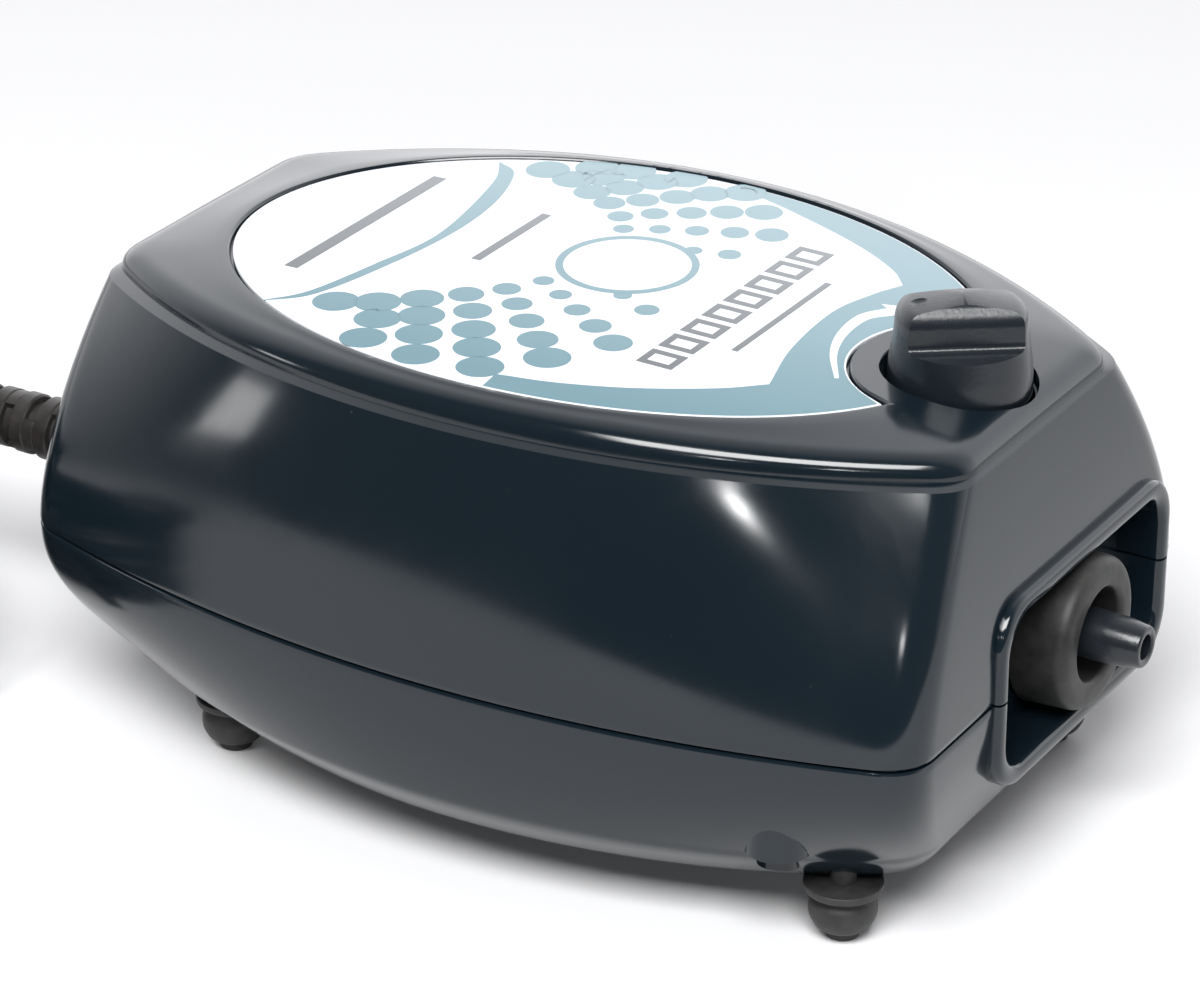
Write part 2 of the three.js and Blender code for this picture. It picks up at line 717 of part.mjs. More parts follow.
function valvePlate() {
  const high = headBack - gap;
  const plate = block(headX - headHalf, headX + headHalf, high - 2, high, headLow, headHigh);
  const port = (side) =>
    rod(boreRadius, -40, 20, "y", [headX + side * portSpread, 0, mechanismZ], 12);
  return carve(plate, [port(1), port(-1)]);
}

const coverFront = headBack - gap - 2 - gap;
const coverBack = coverFront - 10.5;

function headCover() {
  const body = block(headX - headHalf, headX + headHalf, coverBack, coverFront, headLow, headHigh);
  const room = (from, to) =>
    block(headX + from, headX + to, coverBack + 2, coverFront + 1, headLow + 2, headHigh - 2);
  const spigot = rod(1.9, headX + headHalf - 1, spigotEnd, "x", [0, headOutletY, mechanismZ], 20);
  const bore = rod(1.1, headX + headHalf - 3, spigotEnd + 1, "x", [0, headOutletY, mechanismZ], 12);
  const intake = rod(2.5, coverBack - 1, coverBack + 3, "y", [headX - 6, 0, mechanismZ], 16);
  const side = headHalf - 2;
  return carve(body, [room(-side, -1), room(1, side), bore, intake], [spigot]);
}

function flap(side, near) {
  const x = headX + side * portSpread;
  return block(x - 2.6, x + 2.6, near, near + 0.6, mechanismZ - 4.2, mechanismZ + 5.8);
}
const inletFlapY = headBack + 0.05;
const outletFlapY = coverFront + gap - 0.95;

const clampRadius = 5;
const diaphragmY = headFront + gap;
const diaphragmThickness = 1.5;

function diaphragm() {
  const far = diaphragmY + diaphragmThickness;
  return turned([
    [1.3 + gap, diaphragmY], [5.6, diaphragmY], [6.4, diaphragmY - 0.8], [7.4, diaphragmY - 0.8],
    [8.2, diaphragmY], [headHalf - 0.4, diaphragmY], [headHalf - 0.4, far], [8, far],
    [7.2, far - 0.7], [6.6, far - 0.7], [5.8, far], [1.3 + gap, far], [1.3 + gap, diaphragmY],
  ], "y", [headX, 0, mechanismZ], 28);
}

function clampFront() {
  return ring(1.3 + gap, clampRadius, diaphragmY - 1.8, diaphragmY - gap, "y",
    [headX, 0, mechanismZ], 24);
}

function clampRear() {
  const near = diaphragmY + diaphragmThickness + gap;
  return turned([
    [1.3 + gap, near], [clampRadius, near], [clampRadius, near + 1.5], [3.4, near + 1.8],
    [3.4, armY - gap], [1.3 + gap, armY - gap], [1.3 + gap, near],
  ], "y", [headX, 0, mechanismZ], 24);
}

function clampScrew() {
  const head = diaphragmY - 1.8 - gap;
  return turned([
    [0, head - 1.6], [2.2, head - 1.6], [2.6, head - 1], [2.6, head], [1.3, head],
    [1.3, armY + armThickness + 3.4], [0, armY + armThickness + 3.4],
  ], "y", [headX, 0, mechanismZ], 16);
}

function clampNut() {
  const near = armY + armThickness + gap;
  return ring(1.3 + gap, 3, near, near + 2.2, "y", [headX, 0, mechanismZ], 6);
}

function diaphragmRing() {
  const near = diaphragmY + diaphragmThickness + gap;
  return ring(chamberRadius, headHalf - 0.4, near, near + 1.6, "y", [headX, 0, mechanismZ], 28);
}

// ---- intake ----
function filterCover() {
  const disc = rod(filterRadius, baseHeight + 0.2, baseHeight + 1.8, "z", [0, filterY, 0], 28);
  const slots = [-6, -3, 0, 3, 6].map((y) => {
    const half = Math.sqrt(filterRadius ** 2 - y * y) - 2.6;
    return block(-half, half, y - 0.7, y + 0.7, 0, 20);
  });
  return carve(disc, slots);
}

function intakeFelt() {
  return rod(filterRadius - 0.2, baseHeight + 1.8 + gap, 11.6 - gap, "z", [0, filterY, 0], 28);
}

// ---- mains lead ----
const reliefEnd = -seamLength - reliefLength - 1;
const leadZ = seamHeight;

function strainRelief() {
  const ribs = 6;
  const start = -seamLength - 0.8;
  const pitch = (start - 3 - reliefEnd) / ribs;
  const neck = reliefRadius - 0.7;
  const profile = [
    [0, -seamLength + wall + 2.2], [reliefFlange, -seamLength + wall + 2.2],
    [reliefFlange, -seamLength + wall + gap], [neck, -seamLength + wall + gap], [neck, start],
    [reliefRadius + 1, start], [reliefRadius + 1, start - 2], [reliefRadius - 0.9, start - 2],
  ];
  for (let i = 0; i < ribs; i++) {
    const radius = mix(reliefRadius, reliefRadius - 0.7, i / (ribs - 1));
    const near = start - 3 - i * pitch;
    profile.push([radius - 0.9, near], [radius, near - 0.1], [radius, near - pitch * 0.6],
      [radius - 0.9, near - pitch * 0.7]);
  }
  profile.push([reliefRadius - 1.6, reliefEnd], [0, reliefEnd]);
  return turned(profile, "x", [0, leadY, leadZ], 16);
}

const coilOuter = coilMid + coilHalfWidth;
const coilY = leadY - coilOuter - leadRadius - 0.4; // the lead comes down round the coil's outside
const plugY = coilY + 13.6;
const plugBottom = coilTop + gap;

// The free stretch of the lead, from the relief down to the floor and round the coil.
const leadRoute = [
  [-86.3, -12, 27.2], [-90, -12, 27.2], [-94, -12, 27.2], [-98, -12, 27.2], [-102, -12, 26.9],
  [-106, -12.2, 26.2], [-109.9, -12.8, 24.9], [-113.8, -13.9, 23.2], [-117.5, -15.3, 21.1], [-121.1, -17.1, 18.8],
  [-124.5, -19.3, 16.4], [-127.6, -21.8, 13.8], [-130.4, -24.6, 11.4], [-132.9, -27.7, 9.1], [-135.1, -31.1, 7],
  [-136.9, -34.7, 5.3], [-138.3, -38.4, 4], [-139.4, -42.3, 3.3], [-140, -46.2, 3],
];
// The last stretch, over the top of the coil and round to the plug.
const plugRoute = [
  [-102, -82.6, 25.5], [-96.9, -82, 25.57], [-92, -80.3, 25.77], [-87.7, -77.6, 26.09], [-84, -73.9, 26.51],
  [-81.3, -69.6, 27], [-79.6, -64.7, 27.52], [-79, -59.6, 28.05], [-79.6, -54.5, 28.54], [-81.3, -49.6, 28.96],
  [-84, -45.3, 29.28], [-87.7, -41.6, 29.48], [-92, -38.9, 29.55], [-96.9, -37.2, 29.55], [-102, -36.6, 29.55],
  [-102.7, -36.6, 29.55],
];

function cordTube(route, steps) {
  const points = route.map((p) => new THREE.Vector3(...p));
  const section = new THREE.Shape();
  for (let i = 0; i < 8; i++) {
    const angle = (i * Math.PI) / 4;
    const point = [leadRadius * Math.cos(angle), leadRadius * Math.sin(angle)];
    if (i) section.lineTo(...point);
    else section.moveTo(...point);
  }
  section.closePath();
  return extruded(section, 0, { extrudePath: new THREE.CatmullRomCurve3(points, false, "centripetal"), steps });
}

function leadCoil() {
  const inner = coilMid - coilHalfWidth;
  const outer = coilOuter;
  const soft = 2;
  return turned([
    [inner + soft, coilBottom], [outer - soft, coilBottom], [outer, coilBottom + soft],
    [outer, coilTop - soft], [outer - soft, coilTop], [inner + soft, coilTop],
    [inner, coilTop - soft], [inner, coilBottom + soft], [inner + soft, coilBottom],
  ], "z", [coilX, coilY, 0], 32);
}

function coilTie() {
  const thick = 0.5;
  const room = coilHalfWidth + gap + 0.1;
  const tieWidth = 5;
  const side = room + thick;
  const frame = block(coilMid - side, coilMid + side, -tieWidth / 2, tieWidth / 2,
    coilBottom - gap - thick, coilTop + gap + thick);
  const hole = block(coilMid - room - 0.3, coilMid + room, -10, 10, coilBottom - gap, coilTop + gap);
  return carve(frame, [hole]).rotateZ(tieAngle * turn).translate(coilX, coilY, 0);
}

function plugBody() {
  const half = plugWidth / 2;
  const neck = leadRadius + 2.4;
  const shape = new THREE.Shape();
  [[0, -neck], [6, -neck], [14, -half], [plugLength, -half], [plugLength, half], [14, half],
    [6, neck], [0, neck]].forEach(([x, y], i) => (i ? shape.lineTo(x, y) : shape.moveTo(x, y)));
  shape.closePath();
  const bevel = 1.6;
  const body = new THREE.ExtrudeGeometry(shape, {
    depth: plugHeight - 2 * bevel, bevelThickness: bevel, bevelSize: bevel, bevelOffset: -bevel,
    bevelSegments: 2,
  });
  return body.rotateZ(180 * turn).translate(plugRear, plugY, plugBottom + bevel);
}

function plugPin(side) {
  const from = plugRear - plugLength - gap;
  return turned([
    [0, from], [2, from], [2, from - pinLength + 1.2], [1.1, from - pinLength], [0, from - pinLength],
  ], "x", [0, plugY + side * pinSpread, plugBottom + plugHeight / 2], 16);
}

// ---- assembly ----
add("lower_casing", lowerCasing(), finish.casing);
add("upper_casing", upperCasing(), finish.casing);
add("top_label", topLabel(), finish.label);
for (const [place, x, y] of screwPlaces) add("casing_screw_" + place, casingScrew(x, y), finish.steel);
for (const [place, x, y] of footPlaces) add("foot_" + place, foot(x, y), finish.rubber);
add("control_knob", controlKnob(), finish.knob);
add("potentiometer", potentiometer(), finish.steel);
add("potentiometer_shaft", potentiometerShaft(), finish.nylon);
add("potentiometer_nut", potentiometerNut(), finish.brass);
add("control_board", block(26, 54, -15, 15, boardBottom, boardTop), finish.board);
add("board_capacitor", block(27, 33, -11, 2, boardTop + gap, boardTop + 9), finish.nylon);
add("board_triac", block(28, 32, 6, 14, boardTop + gap, boardTop + 8), finish.magnet);
add("outlet_panel", outletPanel(), finish.casing);
add("outlet_grommet", grommet(), finish.rubber);
add("outlet_nozzle", nozzle(), finish.knob);
add("outlet_hose", outletHose(), finish.silicone);
add("mechanism_plate", mechanismPlate(), finish.steel);
for (const [place, x, y] of damperPlaces) add("damper_" + place, damper(x, y), finish.blackRubber);
add("coil_core", coilCore(), finish.lamination);
add("coil_bobbin", coilBobbin(), finish.nylon);
add("coil_winding", coilWinding(), finish.copper);
add("vibrating_arm", vibratingArm(), finish.aluminium);
add("arm_magnet", armMagnet(), finish.magnet);
add("pivot_post", pivotPost(), finish.steel);
add("pivot_bush", pivotBush(), finish.blackRubber);
add("pump_head", pumpHead(), finish.nylon);
add("valve_plate", valvePlate(), finish.nylon);
add("head_cover", headCover(), finish.nylon);
add("inlet_flap", flap(-1, inletFlapY), finish.blackRubber);
add("outlet_flap", flap(1, outletFlapY), finish.blackRubber);
add("diaphragm", diaphragm(), finish.blackRubber);
add("diaphragm_ring", diaphragmRing(), finish.nylon);
add("diaphragm_clamp", clampFront(), finish.aluminium);
add("arm_spacer", clampRear(), finish.aluminium);
add("diaphragm_screw", clampScrew(), finish.steel);
add("diaphragm_nut", clampNut(), finish.steel);
add("filter_cover", filterCover(), finish.casing);
add("intake_felt", intakeFelt(), finish.felt);
add("strain_relief", strainRelief(), finish.blackRubber);
add("mains_lead", cordTube(leadRoute, 20), finish.lead);
add("lead_coil", leadCoil(), finish.lead);
add("coil_tie", coilTie(), finish.blackRubber);
add("plug_lead", cordTube(plugRoute, 8), finish.lead);
add("plug_body", plugBody(), finish.blackRubber);
add("plug_pin_line", plugPin(1), finish.brass);
add("plug_pin_neutral", plugPin(-1), finish.brass);

export default group;
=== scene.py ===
import math
import bpy
import numpy as np
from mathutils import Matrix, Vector


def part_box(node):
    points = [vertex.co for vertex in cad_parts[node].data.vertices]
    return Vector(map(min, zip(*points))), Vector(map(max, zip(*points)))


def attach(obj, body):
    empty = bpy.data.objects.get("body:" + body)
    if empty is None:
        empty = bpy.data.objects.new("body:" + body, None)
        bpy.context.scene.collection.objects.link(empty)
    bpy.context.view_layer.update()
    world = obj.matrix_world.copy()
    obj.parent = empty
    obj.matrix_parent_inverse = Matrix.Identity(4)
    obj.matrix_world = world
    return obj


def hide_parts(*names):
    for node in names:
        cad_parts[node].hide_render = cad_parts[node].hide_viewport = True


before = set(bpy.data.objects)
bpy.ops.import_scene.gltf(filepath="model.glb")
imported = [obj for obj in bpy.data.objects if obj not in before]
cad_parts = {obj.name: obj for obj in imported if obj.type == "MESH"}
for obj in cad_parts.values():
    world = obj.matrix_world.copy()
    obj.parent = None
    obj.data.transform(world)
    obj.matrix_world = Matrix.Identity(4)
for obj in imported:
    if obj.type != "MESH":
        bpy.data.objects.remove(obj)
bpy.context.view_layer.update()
mm = 0.001
print("frame loaded")


cameraSettings = {
    "place": (0.25037, -0.41888, 0.27399),
    "looksAlong": (-0.46553, 0.76543, -0.44430),
    "lens": 137.83,
}


# a new object in the scene
def addObject(name, data):
    thing = bpy.data.objects.new(name, data)
    bpy.context.scene.collection.objects.link(thing)
    return thing


# a camera or a lamp stands at a place and looks along a direction
def aim(thing, place, along):
    thing.location = place
    thing.rotation_euler = Vector(along).to_track_quat("-Z", "Y").to_euler()


def makeCamera():
    data = bpy.data.cameras.new("viewCamera")
    data.lens = cameraSettings["lens"]
    data.clip_end = 20
    camera = addObject("viewCamera", data)
    aim(camera, cameraSettings["place"], cameraSettings["looksAlong"])
    bpy.context.scene.camera = camera


makeCamera()
print("camera placed")


# a Principled material; sockets are set straight on the shader by their names with _ for space
def newMaterial(name, colour, roughness, **sockets):
    material = bpy.data.materials.new(name)
    material.use_nodes = True
    shader = material.node_tree.nodes["Principled BSDF"]
    shader.inputs["Base Color"].default_value = (*colour, 1)
    shader.inputs["Roughness"].default_value = roughness
    for key, value in sockets.items():
        shader.inputs[key.replace("_", " ")].default_value = value
    return material


# adds a node; a value whose name is an input's name sets that input, any other sets the node
def addNode(tree, kind, **values):
    node = tree.nodes.new(kind)
    for key, value in values.items():
        name = key.replace("_", " ")
        if name in node.inputs:
            node.inputs[name].default_value = value
        else:
            setattr(node, key, value)
    return node


# a link from one node's output to another's input
def wire(tree, source, output, target, entry):
    tree.links.new(source.outputs[output], target.inputs[entry])


# object coordinates through a Mapping node
def objectPoints(tree, stretch=(1, 1, 1), turned=(0, 0, 0)):
    where = addNode(tree, "ShaderNodeTexCoord")
    mapping = addNode(tree, "ShaderNodeMapping", Scale=stretch, Rotation=turned)
    wire(tree, where, "Object", mapping, "Vector")
    return mapping.outputs["Vector"]


def makeGroup(name, inputs, outputs):
    group = bpy.data.node_groups.new(name, "ShaderNodeTree")
    for title, kind, value in inputs:
        socket = group.interface.new_socket(title, in_out="INPUT", socket_type=kind)
        if value is not None:
            socket.default_value = value
    for title, kind in outputs:
        group.interface.new_socket(title, in_out="OUTPUT", socket_type=kind)
    return group, group.nodes.new("NodeGroupInput"), group.nodes.new("NodeGroupOutput")


# fine moulded grain: two sizes of noise make a height, which a Bump node turns into a normal
def makeGrainGroup():
    group, given, result = makeGroup(
        "mouldedGrain",
        [("Scale", "NodeSocketFloat", 900.0), ("Height", "NodeSocketFloat", 0.3)],
        [("Normal", "NodeSocketVector"), ("Mask", "NodeSocketFloat")],
    )
    points = objectPoints(group)
    fine = addNode(group, "ShaderNodeTexNoise", Detail=3.0, Roughness=0.6)
    coarse = addNode(group, "ShaderNodeTexNoise", Scale=160.0, Detail=2.0)
    blend = addNode(group, "ShaderNodeMix", data_type="FLOAT", Factor=0.3)
    bump = addNode(group, "ShaderNodeBump", Distance=0.0002)
    group.links.new(points, fine.inputs["Vector"])
    group.links.new(points, coarse.inputs["Vector"])
    wire(group, given, "Scale", fine, "Scale")
    wire(group, fine, "Fac", blend, "A")
    wire(group, coarse, "Fac", blend, "B")
    wire(group, blend, "Result", bump, "Height")
    wire(group, given, "Height", bump, "Strength")
    wire(group, bump, "Normal", result, "Normal")
    wire(group, blend, "Result", result, "Mask")
    return group


# light handling: a soft smudge mask from slow noise, and rare dust specks from small cells
def makeHandlingGroup():
    group, given, result = makeGroup(
        "handlingMarks",
        [("Clean", "NodeSocketFloat", 0.1), ("Worn", "NodeSocketFloat", 0.2)],
        [("Roughness", "NodeSocketFloat"), ("Dust", "NodeSocketFloat")],
    )
    points = objectPoints(group)
    smudge = addNode(group, "ShaderNodeTexNoise", Scale=38.0, Detail=5.0, Roughness=0.62, Distortion=0.5)
    edge = addNode(group, "ShaderNodeMapRange", From_Min=0.42, From_Max=0.72)
    mixed = addNode(group, "ShaderNodeMix", data_type="FLOAT")
    cells = addNode(group, "ShaderNodeTexVoronoi", Scale=420.0)
    speck = addNode(group, "ShaderNodeMapRange", From_Min=0.05, From_Max=0.02)
    rare = addNode(group, "ShaderNodeTexNoise", Scale=70.0)
    rarer = addNode(group, "ShaderNodeMapRange", From_Min=0.6, From_Max=0.7)
    dust = addNode(group, "ShaderNodeMath", operation="MULTIPLY")
    for node in (smudge, cells, rare):
        group.links.new(points, node.inputs["Vector"])
    wire(group, smudge, "Fac", edge, "Value")
    wire(group, edge, "Result", mixed, "Factor")
    wire(group, given, "Clean", mixed, "A")
    wire(group, given, "Worn", mixed, "B")
    wire(group, cells, "Distance", speck, "Value")
    wire(group, rare, "Fac", rarer, "Value")
    wire(group, speck, "Result", dust, 0)
    wire(group, rarer, "Result", dust, 1)
    wire(group, mixed, "Result", result, "Roughness")
    wire(group, dust, "Value", result, "Dust")
    return group


grainGroup = makeGrainGroup()
handlingGroup = makeHandlingGroup()


def addGrain(material, scale, height):
    tree = material.node_tree
    grain = addNode(tree, "ShaderNodeGroup", node_tree=grainGroup)
    grain.inputs["Scale"].default_value = scale
    grain.inputs["Height"].default_value = height
    wire(tree, grain, "Normal", tree.nodes["Principled BSDF"], "Normal")
    return grain.outputs["Mask"]


def addHandling(material, clean, worn):
    tree = material.node_tree
    marks = addNode(tree, "ShaderNodeGroup", node_tree=handlingGroup)
    marks.inputs["Clean"].default_value = clean
    marks.inputs["Worn"].default_value = worn
    wire(tree, marks, "Roughness", tree.nodes["Principled BSDF"], "Roughness")
    return marks.outputs["Dust"]


# the base colour runs from dark to light as the mask goes from low to high
def tint(material, mask, dark, light, low=0.35, high=0.65):
    tree = material.node_tree
    ramp = addNode(tree, "ShaderNodeValToRGB")
    ramp.color_ramp.elements[0].position = low
    ramp.color_ramp.elements[0].color = (*dark, 1)
    ramp.color_ramp.elements[1].position = high
    ramp.color_ramp.elements[1].color = (*light, 1)
    tree.links.new(mask, ramp.inputs["Fac"])
    wire(tree, ramp, "Color", tree.nodes["Principled BSDF"], "Base Color")


finishes = {
    "casing": {"colour": (0.0050, 0.0105, 0.0155), "dust": (0.05, 0.055, 0.06), "clean": 0.11, "worn": 0.19},
    # the far ink colour is paler than the near one: painted sheen of the label's coat, not a printed fade
    "inkNear": (0.105, 0.225, 0.27),
    "inkFarPaintedSheen": (0.33, 0.45, 0.50),
    "rubberDark": (0.009, 0.0095, 0.009),
    "rubberPale": (0.026, 0.026, 0.025),
}


# glossy moulded plastic: a very slow waviness bends its reflections, with faint smudges and dust
def casingPlastic(name):
    look = finishes["casing"]
    material = newMaterial(name, look["colour"], look["clean"], IOR=1.52)
    tree = material.node_tree
    tint(material, addHandling(material, look["clean"], look["worn"]), look["colour"], look["dust"], 0, 1)
    wave = addNode(tree, "ShaderNodeTexNoise", Scale=34.0, Detail=1.5)
    bump = addNode(tree, "ShaderNodeBump", Strength=0.05, Distance=0.002)
    tree.links.new(objectPoints(tree), wave.inputs["Vector"])
    wire(tree, wave, "Fac", bump, "Height")
    wire(tree, bump, "Normal", tree.nodes["Principled BSDF"], "Normal")
    return material


def labelWhite():
    material = newMaterial("labelWhite", (0.80, 0.83, 0.87), 0.35, Specular_IOR_Level=0.25)
    tint(material, addGrain(material, 2600.0, 0.04), (0.78, 0.81, 0.86), (0.82, 0.85, 0.88))
    return material


# printed ink with painted sheen: its colour pales across the label from its near side to its far side
def inkWithPaintedSheen(name, near, far):
    material = newMaterial(name, near, 0.35, Specular_IOR_Level=0.25)
    tree = material.node_tree
    split = addNode(tree, "ShaderNodeSeparateXYZ")
    across = addNode(tree, "ShaderNodeMapRange", From_Min=-0.032, From_Max=0.034)
    tree.links.new(objectPoints(tree), split.inputs["Vector"])
    wire(tree, split, "Y", across, "Value")
    # painted sheen: the base colour pales from the near colour to the far one along the label's Y
    tint(material, across.outputs["Result"], near, far, 0.05, 0.95)
    addGrain(material, 2600.0, 0.04)
    return material


def mottledRubber(name, dark, pale, roughness, grain):
    material = newMaterial(name, dark, roughness, Specular_IOR_Level=0.4)
    tint(material, addGrain(material, grain, 0.5), dark, pale)
    return material


def smoothPlastic(name, colour, clean, worn, grain=0.12):
    material = newMaterial(name, colour, clean)
    pale = tuple(0.03 + 1.2 * c for c in colour)
    addGrain(material, 1500.0, grain)
    tint(material, addHandling(material, clean, worn), colour, pale, 0, 1)
    return material


# bare metal with fine lines, drawn out along the axis whose stretch is least
def metal(name, colour, roughness, brushed=(1, 1, 1)):
    material = newMaterial(name, colour, roughness, Metallic=1.0)
    tree = material.node_tree
    lines = addNode(tree, "ShaderNodeTexNoise", Scale=900.0, Detail=4.0)
    spread = addNode(tree, "ShaderNodeMapRange", To_Min=roughness * 0.75, To_Max=roughness * 1.3)
    bump = addNode(tree, "ShaderNodeBump", Strength=0.15, Distance=0.00005)
    tree.links.new(objectPoints(tree, stretch=brushed), lines.inputs["Vector"])
    wire(tree, lines, "Fac", spread, "Value")
    wire(tree, lines, "Fac", bump, "Height")
    shader = tree.nodes["Principled BSDF"]
    wire(tree, spread, "Result", shader, "Roughness")
    wire(tree, bump, "Normal", shader, "Normal")
    tint(material, lines.outputs["Fac"], tuple(0.8 * c for c in colour), colour)
    return material


# even parallel lines, for stacked sheets and wound wire
def banded(name, dark, light, direction, scale, metallic, roughness):
    material = newMaterial(name, dark, roughness, Metallic=metallic)
    tree = material.node_tree
    wave = addNode(tree, "ShaderNodeTexWave", Scale=scale, bands_direction=direction)
    bump = addNode(tree, "ShaderNodeBump", Strength=0.6, Distance=0.0002)
    tree.links.new(objectPoints(tree), wave.inputs["Vector"])
    wire(tree, wave, "Fac", bump, "Height")
    wire(tree, bump, "Normal", tree.nodes["Principled BSDF"], "Normal")
    tint(material, wave.outputs["Fac"], dark, light, 0.1, 0.8)
    return material


def feltCloth():
    material = newMaterial("woolFelt", (0.6, 0.6, 0.56), 0.95, Sheen_Weight=0.4)
    tint(material, addGrain(material, 500.0, 1.0), (0.5, 0.5, 0.46), (0.7, 0.7, 0.66))
    return material


looks = {
    "casing": casingPlastic("glossyCasing"),
    "label": labelWhite(),
    "teal": inkWithPaintedSheen("tealInkPaintedSheen", finishes["inkNear"], finishes["inkFarPaintedSheen"]),
    # the grey ink also pales towards the label's far side: painted sheen
    "grey": inkWithPaintedSheen("greyInkPaintedSheen", (0.09, 0.10, 0.11), (0.30, 0.32, 0.34)),
    "knob": smoothPlastic("knobPlastic", (0.009, 0.0125, 0.017), 0.20, 0.33, 0.16),
    "nozzle": smoothPlastic("nozzlePlastic", (0.012, 0.015, 0.019), 0.24, 0.36, 0.2),
    "grommet": mottledRubber("grommetRubber", finishes["rubberDark"], finishes["rubberPale"], 0.5, 420.0),
    "foot": mottledRubber("footRubber", (0.018, 0.018, 0.018), (0.036, 0.036, 0.035), 0.55, 500.0),
    "black": mottledRubber("blackRubber", (0.010, 0.010, 0.011), (0.022, 0.022, 0.023), 0.55, 700.0),
    "relief": mottledRubber("reliefRubber", (0.016, 0.014, 0.013), (0.034, 0.031, 0.029), 0.42, 600.0),
    "lead": smoothPlastic("leadSheath", (0.012, 0.012, 0.013), 0.34, 0.46, 0.2),
    "plug": smoothPlastic("plugPlastic", (0.012, 0.012, 0.013), 0.38, 0.5, 0.5),
    "steel": metal("zincSteel", (0.55, 0.56, 0.57), 0.32, (1, 0.15, 1)),
    "brass": metal("plainBrass", (0.66, 0.50, 0.24), 0.28, (0.1, 1, 1)),
    "aluminium": metal("stampedAluminium", (0.62, 0.63, 0.64), 0.38, (0.1, 1, 1)),
    "lamination": banded("sheetStack", (0.10, 0.105, 0.11), (0.30, 0.31, 0.32), "Z", 330.0, 1.0, 0.42),
    "copper": banded("woundCopper", (0.30, 0.075, 0.025), (0.62, 0.22, 0.08), "Y", 500.0, 1.0, 0.3),
    "nylon": smoothPlastic("naturalNylon", (0.62, 0.58, 0.48), 0.4, 0.5, 0.3),
    "silicone": smoothPlastic("clearSilicone", (0.55, 0.58, 0.57), 0.35, 0.45, 0.1),
    "magnet": mottledRubber("ferrite", (0.02, 0.02, 0.022), (0.05, 0.05, 0.055), 0.5, 900.0),
    "board": smoothPlastic("solderMask", (0.015, 0.09, 0.035), 0.25, 0.4, 0.1),
    "felt": feltCloth(),
}
nodeLooks = {
    "steel": ["casing_screw_front_right", "casing_screw_front_left", "casing_screw_rear_right",
              "casing_screw_rear_left", "potentiometer", "potentiometer_nut", "mechanism_plate",
              "pivot_post", "diaphragm_screw", "diaphragm_nut"],
    "nylon": ["potentiometer_shaft", "board_capacitor", "coil_bobbin", "pump_head", "valve_plate",
              "head_cover", "diaphragm_ring", "diaphragm_clamp", "arm_spacer"],
    "board": ["control_board"],
    "magnet": ["board_triac", "arm_magnet"],
    "silicone": ["outlet_hose", "inlet_flap", "outlet_flap"],
    "black": ["damper_front_right", "damper_front_left", "damper_rear_right", "damper_rear_left",
              "pivot_bush"],
    "plug": ["coil_tie", "plug_body"],
    "brass": ["plug_pin_line", "plug_pin_neutral"],
    "nozzle": ["filter_cover"],
    "lamination": ["coil_core"],
    "copper": ["coil_winding"],
    "aluminium": ["vibrating_arm"],
    "felt": ["intake_felt"],
}
for look, names in nodeLooks.items():
    for name in names:
        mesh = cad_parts[name].data
        mesh.materials.clear()
        mesh.materials.append(looks[look])
print("materials made")


# sum over a fan of triangles of the scalar triple product, a sixth of it
def signedVolume(points, faces):
    total = 0.0
    for size in (3, 4):
        own = np.array([f for f in faces if len(f) == size], int).reshape(-1, size)
        for k in range(1, size - 1):
            a, b, c = points[own[:, 0]], points[own[:, k]], points[own[:, k + 1]]
            total += np.einsum("ij,ij->i", a, np.cross(b, c)).sum() / 6
    return total


# quads between the rows of a grid; wrap joins the last column to the first
def gridFaces(rows, columns, wrap=True):
    index = np.arange(rows * columns).reshape(rows, columns)
    across = np.roll(index, -1, axis=1)
    if not wrap:
        index, across = index[:, :-1], across[:, :-1]
    return np.stack([index[:-1], across[:-1], across[1:], index[1:]], axis=-1).reshape(-1, 4).tolist()


# a grid of rings (rows, columns, 3), closed by a fan to the middle of the first and last ring
def closedSkin(grid):
    rows, columns, _ = grid.shape
    points = np.vstack([grid.reshape(-1, 3), grid[0].mean(0), grid[-1].mean(0)])
    first, last = np.arange(columns), np.arange(columns) + (rows - 1) * columns
    start = np.stack([np.full(columns, rows * columns), np.roll(first, -1), first], axis=-1)
    end = np.stack([np.full(columns, rows * columns + 1), last, np.roll(last, -1)], axis=-1)
    return points, outward(points, gridFaces(rows, columns) + start.tolist() + end.tolist())


# a grid whose rows close on each other, as its columns do
def closedLoop(grid):
    rows, columns, _ = grid.shape
    points = grid.reshape(-1, 3)
    return points, outward(points, [[i % len(points) for i in f] for f in gridFaces(rows + 1, columns)])


# the faces, turned round if they enclose a negative volume
def outward(points, faces):
    return faces if signedVolume(points, faces) > 0 else [f[::-1] for f in faces]


# several (points, faces) as one
def joined(*parts):
    points, faces, count = [], [], 0
    for own, sides in parts:
        points.append(own)
        faces += [[i + count for i in f] for f in sides]
        count += len(own)
    return np.vstack(points), faces


# a smooth-shaded mesh object; edges that turn by more than sharp degrees stay sharp
def newObject(name, points, faces, look, sharp=32):
    mesh = bpy.data.meshes.new(name)
    mesh.from_pydata(points.tolist(), [], faces)
    mesh.update()
    mesh.shade_smooth()
    mesh.set_sharp_from_angle(angle=math.radians(sharp))
    mesh.materials.append(looks[look])
    return addObject(name, mesh)


# rides on its body and stands for its CAD nodes, which it hides
def settle(piece, body="pump", instead=()):
    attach(piece, body)
    if instead:
        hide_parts(*instead)
    return piece


